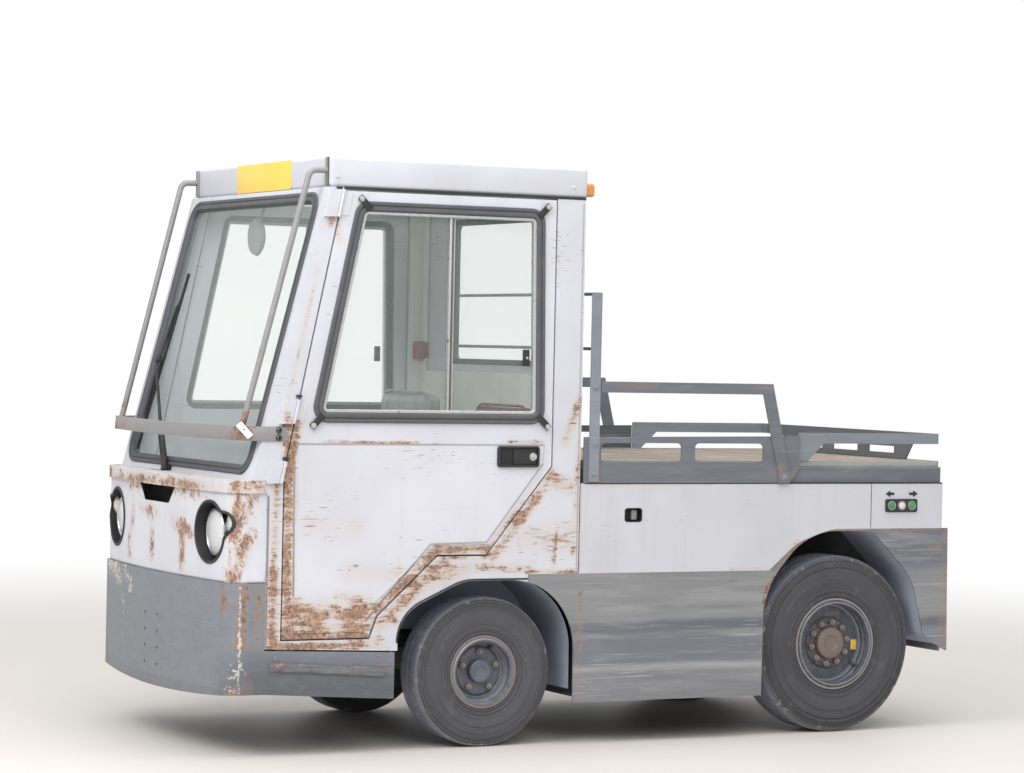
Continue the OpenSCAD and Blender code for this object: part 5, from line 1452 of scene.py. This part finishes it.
class TUG_OT_steering(bpy.types.Operator):
    """Steering wheel with its grip, spokes and hub, and the column's shroud and lever"""
    bl_idname = "tug.steering"
    bl_label = "Steering"

    def execute(self, context):
        centre = at(300, -520, 1060)
        tilt = Matrix.Translation(centre) @ Matrix.Rotation(-COLUMN_TILT, 4, "X")
        tilt = tilt @ Matrix.Rotation(-math.pi / 2, 4, "Y")
        rim = lathe([(13 * math.sin(t), 182 + 13 * math.cos(t))
                     for t in [math.tau * k / 14 for k in range(14)]], 72)
        hub = lathe([(-33, 0.0), (12, 0.0), (12, 26), (9, 36), (2, 40), (-26, 40), (-33, 34)], 40)
        parts = [rim, hub]
        for angle in (90, 210, 330):
            turn = math.radians(angle)
            out = Vector((0, math.cos(turn), math.sin(turn)))
            parts.append(tube([out * 0.032 + LEFT * -0.01, out * 0.1 + LEFT * -0.012, out * 0.176], 0.0085))
        finish_piece(moved_to(join(parts), tilt), "steering_wheel_rim", "steering_wheel",
                     "black", ("steering_wheel",))
        down = Vector((0, -math.sin(COLUMN_TILT), -math.cos(COLUMN_TILT)))
        shroud = bar(centre + down * 0.042, centre + down * 0.15, 0.045, 28, 0.006)
        stalk = tube([centre + down * 0.07, centre + down * 0.065 + LEFT * 0.14], 0.005)
        knob = bar(centre + down * 0.065 + LEFT * 0.13, centre + down * 0.065 + LEFT * 0.165, 0.008, 16,
                   0.002)
        finish_piece(join([shroud, stalk, knob]), "column_shroud", look="black")
        return {"FINISHED"}


def stuffed_pad(low, high, corner, cap, flat_side):
    """Cushion filled by cloth simulation from a slightly smaller block; flat_side keeps its place."""
    margin = Vector((0.004, 0.004, 0.004))
    held, fading, inside = 0.006, 0.02, 0.0005
    pad = block(low + margin, high - margin, corner, 5)
    modify(pad, "REMESH", mode="VOXEL", voxel_size=0.006)
    start = [vertex.co.copy() for vertex in pad.data.vertices]
    pick(pad)
    bpy.ops.object.modifier_add(type="CLOTH")
    cloth = pad.modifiers[-1]
    cloth.settings.use_pressure = True
    cloth.settings.uniform_pressure_force = 4.0
    cloth.settings.effector_weights.gravity = 0.0
    cloth.settings.quality = 5
    frames = 20
    cloth.point_cache.frame_start = 1
    cloth.point_cache.frame_end = frames
    scene = bpy.context.scene
    for number in range(1, frames + 1):
        scene.frame_set(number)
    bpy.ops.object.modifier_apply(modifier=cloth.name)
    scene.frame_set(1)
    axis, sign = flat_side
    limit = low[axis] if sign < 0 else high[axis]
    for vertex, before in zip(pad.data.vertices, start):
        move = vertex.co - before
        if move.length > cap:
            move *= cap / move.length
        depth = abs(before[axis] - limit)
        vertex.co = before + move * min(max(depth - held, 0.0) / fading, 1.0)
        for k in range(3):
            vertex.co[k] = min(max(vertex.co[k], low[k] + inside), high[k] - inside)
    return pad


class TUG_OT_seats(bpy.types.Operator):
    """Padded seats with piping, filled by cloth simulation"""
    bl_idname = "tug.seats"
    bl_label = "Seats"

    def execute(self, context):
        sizes = context.scene.tug_sizes
        shapes = []
        for node, flat in (("seat_cushions", (2, -1)), ("seat_backs", (1, 1))):
            low, high = node_box(node)
            for side_name, sign, look in (("left", 1, "seat"), ("right", -1, "far_seat")):
                points = [v.co for v in NODES[node].data.vertices if v.co.x * sign > 0]
                corner_low = Vector([min(p[k] for p in points) for k in range(3)])
                corner_high = Vector([max(p[k] for p in points) for k in range(3)])
                shapes.append((node, side_name, look, corner_low, corner_high, flat))
        for node, side_name, look, low, high, flat in shapes:
            thick = min(high - low)
            pad = stuffed_pad(low, high, thick * 0.46, sizes.pad_cap, flat)
            modify(pad, "SMOOTH", factor=0.5, iterations=4)
            modify(pad, "SUBSURF", levels=1, render_levels=1)
            hides = (node,) if side_name == "left" else ()
            paint(pad, look)
            finish_piece(pad, f"{node[:-1]}_{side_name}", "root", None, hides, 60)
            if flat[0] == 2:
                outline = self.small(low.x, high.x, low.y, high.y)
                ring = [Vector((a, b, high.z - thick * 0.3)) for a, b in outline]
            else:
                outline = self.small(low.x, high.x, low.z, high.z)
                ring = [Vector((a, low.y + thick * 0.3, b)) for a, b in outline]
            piping = tube(ring, sizes.piping, True, 3)
            finish_piece(piping, f"{node[:-1]}_piping_{side_name}", look=look)
        return {"FINISHED"}

    @staticmethod
    def small(a0, a1, b0, b1):
        """Rounded outline a little inside a pad's sides, in metres."""
        inset, radius = 0.006, 0.06
        corners = [(a1 - inset, b1 - inset), (a0 + inset, b1 - inset), (a0 + inset, b0 + inset),
                   (a1 - inset, b0 + inset)]
        return [(a * MM, b * MM) for a, b in rounded([(a / MM, b / MM, radius / MM) for a, b in corners], 8)]


class TUG_OT_deck(bpy.types.Operator):
    """Weathered planks with their screws, and the bolts of the rails"""
    bl_idname = "tug.deck"
    bl_label = "Load deck"

    def execute(self, context):
        edge = context.scene.tug_sizes.plank_edge
        most_drop, screw_inset, screw_depth = 0.0015, 0.03, 0.0035
        random.seed(5)
        stations = sorted({round(v.co.y, 4) for v in NODES["deck_planks"].data.vertices})
        boards, spots = [], []
        for front, back in zip(stations[0::2], stations[1::2]):
            drop = random.uniform(0.0, most_drop)
            board = block(Vector((deck_low.x, front, deck_low.z)),
                          Vector((deck_high.x, back, deck_high.z - drop)), edge, 2)
            edit(board)
            bpy.ops.mesh.select_all(action="SELECT")
            bpy.ops.mesh.subdivide(number_cuts=3)
            close_edit(False)
            boards.append(board)
            for sign in (1, -1):
                for share in (0.25, 0.75):
                    spot = (sign * (deck_high.x - screw_inset), front + (back - front) * share,
                            deck_high.z - screw_depth)
                    spots.append((Vector(spot), UP))
        finish_piece(join(boards), "deck_boards", look="wood", hides=("deck_planks",))
        finish_piece(bolts(spots, 0.008, 0.003, False, 16), "deck_screws", look="cast")
        rail_spots = side_spots((404, 985, 9), (404, 1096, 9), (1216, 972, 13), (404, 1302, 9))
        finish_piece(bolts(rail_spots, 0.009, 0.0045), "rail_bolts", look="rail")
        return {"FINISHED"}


class TUG_OT_fittings(bpy.types.Operator):
    """Step strips, skirt bolts, plug recesses, seams and the deck's edge trim"""
    bl_idname = "tug.fittings"
    bl_label = "Body fittings"

    def execute(self, context):
        side = BODY_SIDE
        strip = plate([(-854, 301), (-854, 331), (-412, 303), (-412, 271)][::-1], left_side, -1, 7, 0.003)
        both_sides(strip, "step_strip", look="step")
        recess = sweep(rectangle(540, 614, 808, 860, 12, 5),
                       [(0, 0.4), (0, -26), (-3, -26), (-3, 0.4)], left_side)
        floor = slab((side - 30, 542, 810), (side - 25, 612, 858))
        tab = slab((side - 24, 574, 816), (side - 8, 596, 852), 0.003)
        paint(join([recess, floor]), "black")
        recess = bpy.context.object
        paint(tab, "dash")
        both_sides(join([recess, tab]), "plug_recess")
        spots = side_spots((1010, 590, 0), (420, 590, 0), (-830, 345, 0), (-440, 345, 0))
        finish_piece(bolts(spots, 0.007, 0.0028, False, 20), "skirt_bolts", look="skirt")
        trim = []
        for sign in (1, -1):
            trim.append(tube([at(sign * (side - 1), 372, 950), at(sign * (side - 1), 1940, 950)], 0.0028))
            trim.append(slab((sign * (side - 2), 351, 626), (sign * (side + 0.6), 354, 1034)))
            trim.append(slab((sign * (side - 2), 1614, 780), (sign * (side + 0.6), 1616.5, 948)))
        finish_piece(join(trim), "body_seams", look="black")
        corners = [(-369, 200, 0), (-369, 490, 154), (-112, 607, 204), (345, 607, 257), (345, 200, 0)]
        arch = sorted(spot for spot in rounded(corners, 16) if spot[1] > 388 and spot[0] < 80)
        edging = tube([at(side, -369, 388)] + [at(side, *spot) for spot in arch] + [at(side, 147, 607)],
                      0.0032)
        both_sides(edging, "arch_edging", look="black")
        hinge_caps = []
        for y, z in ((-803, 1034), (-757, 1250), (-620, 1978)):
            hinge_caps.append(slab((side, y - 16, z), (side + 13, y + 4, z + 9), 0.002))
        both_sides(join(hinge_caps), "hinge_caps", look="black")
        return {"FINISHED"}


class TUG_OT_lamps(bpy.types.Operator):
    """Tail lamps, amber roof lamps and the boxes with three round buttons"""
    bl_idname = "tug.lamps"
    bl_label = "Lamps and buttons"

    def execute(self, context):
        side = BODY_SIDE
        low_z = 802
        base = slab((side - 170, BODY_BACK, low_z), (side - 50, BODY_BACK + 10, low_z + 100), 0.004)
        parts = [paint(base, "black")]
        for low, high, look in ((2, 34, "red"), (36, 66, "amber"), (68, 98, "white_lens")):
            parts.append(paint(slab((side - 166, BODY_BACK + 8, low_z + low),
                                    (side - 54, BODY_BACK + 22, low_z + high), 0.005, 3), look))
        both_sides(join(parts), "tail_lamp", hides=(("lamps",), ()))
        roof_back = 361
        foot = paint(slab((side - 95, roof_back, ROOF_BOTTOM + 5),
                          (side - 50, roof_back + 22, ROOF_BOTTOM + 61), 0.002), "black")
        dome = paint(slab((side - 92, roof_back + 21, ROOF_BOTTOM + 9),
                          (side - 53, roof_back + 58, ROOF_BOTTOM + 57), 0.010, 4), "amber")
        both_sides(join([foot, dome]), "roof_lamp")
        y0, z0 = 1752, 864
        parts = [paint(plate(rectangle(y0 - 73, y0 + 73, z0 - 25, z0 + 25, 8), left_side, 0, 5, 0.001),
                       "black")]
        for k, look in ((-1, "green"), (0, "pink"), (1, "green")):
            ring = lathe([(4, 14), (8, 14.5), (8.5, 17), (4, 18)], 32)
            knob = lathe([(4, 0.0), (10, 0.0), (9.6, 9), (8.5, 12.5), (4, 13)], 32)
            paint(ring, "alloy")
            paint(knob, look)
            for piece in (ring, knob):
                parts.append(moved_to(piece, Matrix.Translation(at(side, y0 + k * 46, z0))))
        both_sides(join(parts), "button_box")
        arrows = []
        for sign in (1, -1):
            for y, way in ((1702, -1), (1806, 1)):
                shape = [(y - way * 18, 904), (y, 904), (y, 896), (y + way * 22, 909), (y, 922), (y, 914),
                         (y - way * 18, 914)]
                arrow = plate(rounded([(a, b, 0) for a, b in shape]), left_side, 0, 0.8)
                arrows.append(arrow if sign > 0 else moved_to(arrow, MIRROR))
        finish_piece(join(arrows), "button_arrows", look="black")
        return {"FINISHED"}


class TUG_OT_cab_fittings(bpy.types.Operator):
    """Fan on its arm, red box, pillar trims and pedals inside the cab"""
    bl_idname = "tug.cab_fittings"
    bl_label = "Cab fittings"

    def execute(self, context):
        arm = tube(bent_path([at(-150, -560, 1980), at(-150, -590, 1900), at(-150, -600, 1860)], 0.02), 0.006)
        disc = lathe([(-14, 0.0), (12, 0.0), (14, 30), (12, 62), (4, 72), (-8, 66), (-14, 40)], 40)
        place = Matrix.Translation(at(-150, -606, 1830)) @ Matrix.Rotation(math.pi / 2, 4, "Z")
        finish_piece(join([arm, moved_to(disc, place)]), "cab_fan", look="dash")
        case = slab((-604, 255, 1385), (-560, 330, 1455), 0.004)
        finish_piece(case, "red_box", look="red_box")
        trims = []
        for sign in (1, -1):
            trims.append(slab((sign * 604, 236, 705), (sign * 596, 306, 1980), 0.004))
            trims.append(slab((sign * 560, 294, 1300), (sign * 604, 307, 1980), 0.004))
        trims.append(slab((-600, 296, 704), (600, 306, 1340), 0.004))
        finish_piece(join(trims), "cab_trims", look="lining")
        pedals = []
        for x in (220, 300, 380):
            pedals.append(slab((x - 28, -800, 440), (x + 28, -786, 520), 0.004))
            pedals.append(tube([at(x, -800, 500), at(x, -846, 620)], 0.007))
        finish_piece(join(pedals), "pedals", look="black")
        return {"FINISHED"}


class TUG_OT_coupling(bpy.types.Operator):
    """Tow pin with its ring, and the coupling's bolts"""
    bl_idname = "tug.coupling"
    bl_label = "Coupling"

    def execute(self, context):
        low, high = node_box("tow_pin")
        y = (low.y + high.y) / 2
        bottom, top = low.z, high.z
        shaft = lathe([(bottom / MM, 0.0), (bottom / MM, 11), (bottom / MM + 5, 15), (554, 15), (554, 26),
                       (566, 27), (568, 24), (568, 7), (604, 6), (612, 6), (612, 0.0)], 40)
        place = Matrix.Translation(Vector((0, y, 0))) @ Matrix.Rotation(-math.pi / 2, 4, "Y")
        placed = moved_to(shaft, place)
        ring = tube([Vector((math.cos(t) * 0.022, y, top - 0.027 + math.sin(t) * 0.022))
                     for t in [math.tau * k / 32 for k in range(32)]], 0.005, True)
        finish_piece(join([placed, ring]), "tow_pin_with_ring", look="bright",
                     hides=("tow_pin",))
        head = BODY_BACK + 24
        spots = [(at(x, head, z), BACK) for x in (-62, 62) for z in (310, 400, 490, 575)]
        finish_piece(bolts(spots, 0.010, 0.008), "coupling_bolts", look="cast")
        return {"FINISHED"}


# The camera's place in metres, its yaw, pitch and roll in degrees, and its lens in millimetres
CAMERA_PLACE = (10.554, -5.4785, 1.442)
CAMERA_TURN = (27.014, -0.739, 1.218)
CAMERA_LENS, SENSOR_WIDTH = 108.94, 36.0
# Square lights, as (name, place, what they look at, size in metres, power in watts)
LIGHTS = (
    ("key_light", (7.0, -2.2, 5.6), (0, 0, 0.9), 5.0, 190),
    ("top_light", (1.4, 0.4, 6.4), (0, 0, 0), 4.0, 165),
    ("front_light", (2.5, -5.0, 5.2), (0, -0.8, 1.0), 3.5, 270))


def lay_floor():
    """Pale floor that fades into the backdrop."""
    clear()
    bpy.ops.mesh.primitive_plane_add(size=60, location=(0, 0, 0))
    floor = bpy.context.object
    floor.name = "floor"
    f = Finish("pale_floor", 0.55)
    far = f.ease(f.add("VectorMath", [(0, f.place)], operation="LENGTH").outputs["Value"], 2.4, 9.0)
    seen = f.sight()
    f.shade = tone(206, 201, 196)
    f.done()
    glow = f.add("Emission", [("Color", (1, 1, 1, 1)), ("Strength", 1.0)])
    blend = f.add("MixShader", [(0, f.times(far, seen)), (1, f.shader.outputs[0]), (2, glow.outputs[0])])
    f.fill(f.tree.nodes["Material Output"], [(0, blend.outputs[0])])
    floor.data.materials.append(f.material)


def hang_backdrop(scene):
    """World that is white to the eye, and lights the tug softly from above."""
    world = bpy.data.worlds.new("studio")
    scene.world = world
    world.use_nodes = True
    world.node_tree.nodes.clear()
    w = Nodes(world.node_tree)
    height = w.add("SeparateXYZ", [(0, w.add("TexCoord").outputs["Generated"])]).outputs[2]
    rise = w.add("MapRange", [(0, height), (1, -0.1), (2, 1.0), (3, 0.24), (4, 1.02)]).outputs[0]
    lit = w.add("Background", [(0, (1.0, 0.995, 0.985, 1)), (1, rise)]).outputs[0]
    white = w.add("Background", [(0, (1, 1, 1, 1)), (1, 1.0)]).outputs[0]
    shown = w.add("MixShader", [(0, w.sight()), (1, lit), (2, white)]).outputs[0]
    w.fill(w.add("OutputWorld"), [(0, shown)])


def set_lights():
    for name, place, aim, size, power in LIGHTS:
        clear()
        bpy.ops.object.light_add(type="AREA", location=place)
        light = bpy.context.object
        light.name = name
        light.rotation_euler = (Vector(aim) - Vector(place)).to_track_quat("-Z", "Y").to_euler()
        light.data.size = size
        light.data.energy = power


def set_camera(scene):
    data = bpy.data.cameras.new("camera")
    camera = bpy.data.objects.new("camera", data)
    scene.collection.objects.link(camera)
    scene.camera = camera
    data.sensor_width = SENSOR_WIDTH
    data.lens = CAMERA_LENS
    yaw, pitch, roll = (math.radians(angle) for angle in CAMERA_TURN)
    ahead = Vector((-math.cos(yaw) * math.cos(pitch), math.sin(yaw) * math.cos(pitch), math.sin(pitch)))
    right = ahead.cross(UP).normalized()
    up = right.cross(ahead)
    side = right * math.cos(roll) + up * math.sin(roll)
    above = up * math.cos(roll) - right * math.sin(roll)
    turned = Matrix((side, above, -ahead)).transposed().to_4x4()
    camera.matrix_world = Matrix.Translation(CAMERA_PLACE) @ turned
    data.clip_end = 200


class TUG_OT_stage(bpy.types.Operator):
    """Pale floor, plain backdrop, soft lights and the camera"""
    bl_idname = "tug.stage"
    bl_label = "Stage"

    def execute(self, context):
        lay_floor()
        hang_backdrop(context.scene)
        set_lights()
        set_camera(context.scene)
        context.scene.view_settings.view_transform = "Standard"
        return {"FINISHED"}


OPERATORS = (
    TUG_OT_finishes, TUG_OT_stage, TUG_OT_tyres, TUG_OT_rims, TUG_OT_roof, TUG_OT_windows, TUG_OT_latches,
    TUG_OT_guard, TUG_OT_nose, TUG_OT_headlamps, TUG_OT_wiper, TUG_OT_plates, TUG_OT_steering, TUG_OT_seats,
    TUG_OT_deck, TUG_OT_fittings, TUG_OT_lamps, TUG_OT_cab_fittings, TUG_OT_coupling)


class TUG_PT_sidebar(bpy.types.Panel):
    """Lists the tug's pieces, sizes and colours"""
    bl_idname = "TUG_PT_sidebar"
    bl_label = "Baggage tug"
    bl_space_type = "VIEW_3D"
    bl_region_type = "UI"
    bl_category = "Tug"

    def draw(self, context):
        for operator in OPERATORS:
            self.layout.operator(operator.bl_idname)
        for group in (context.scene.tug_sizes, context.scene.tug_colours):
            for key in group.__annotations__:
                self.layout.prop(group, key)


KINDS = (TugSizes, TugColours, *OPERATORS, TUG_PT_sidebar)


def register():
    for kind in KINDS:
        bpy.utils.register_class(kind)
    bpy.types.Scene.tug_sizes = bpy.props.PointerProperty(type=TugSizes)
    bpy.types.Scene.tug_colours = bpy.props.PointerProperty(type=TugColours)


def unregister():
    del bpy.types.Scene.tug_colours
    del bpy.types.Scene.tug_sizes
    for kind in reversed(KINDS):
        bpy.utils.unregister_class(kind)


def main():
    register()
    for operator in OPERATORS:
        group, name = operator.bl_idname.split(".")
        getattr(getattr(bpy.ops, group), name)()
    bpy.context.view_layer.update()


if __name__ == "__main__":
    main()
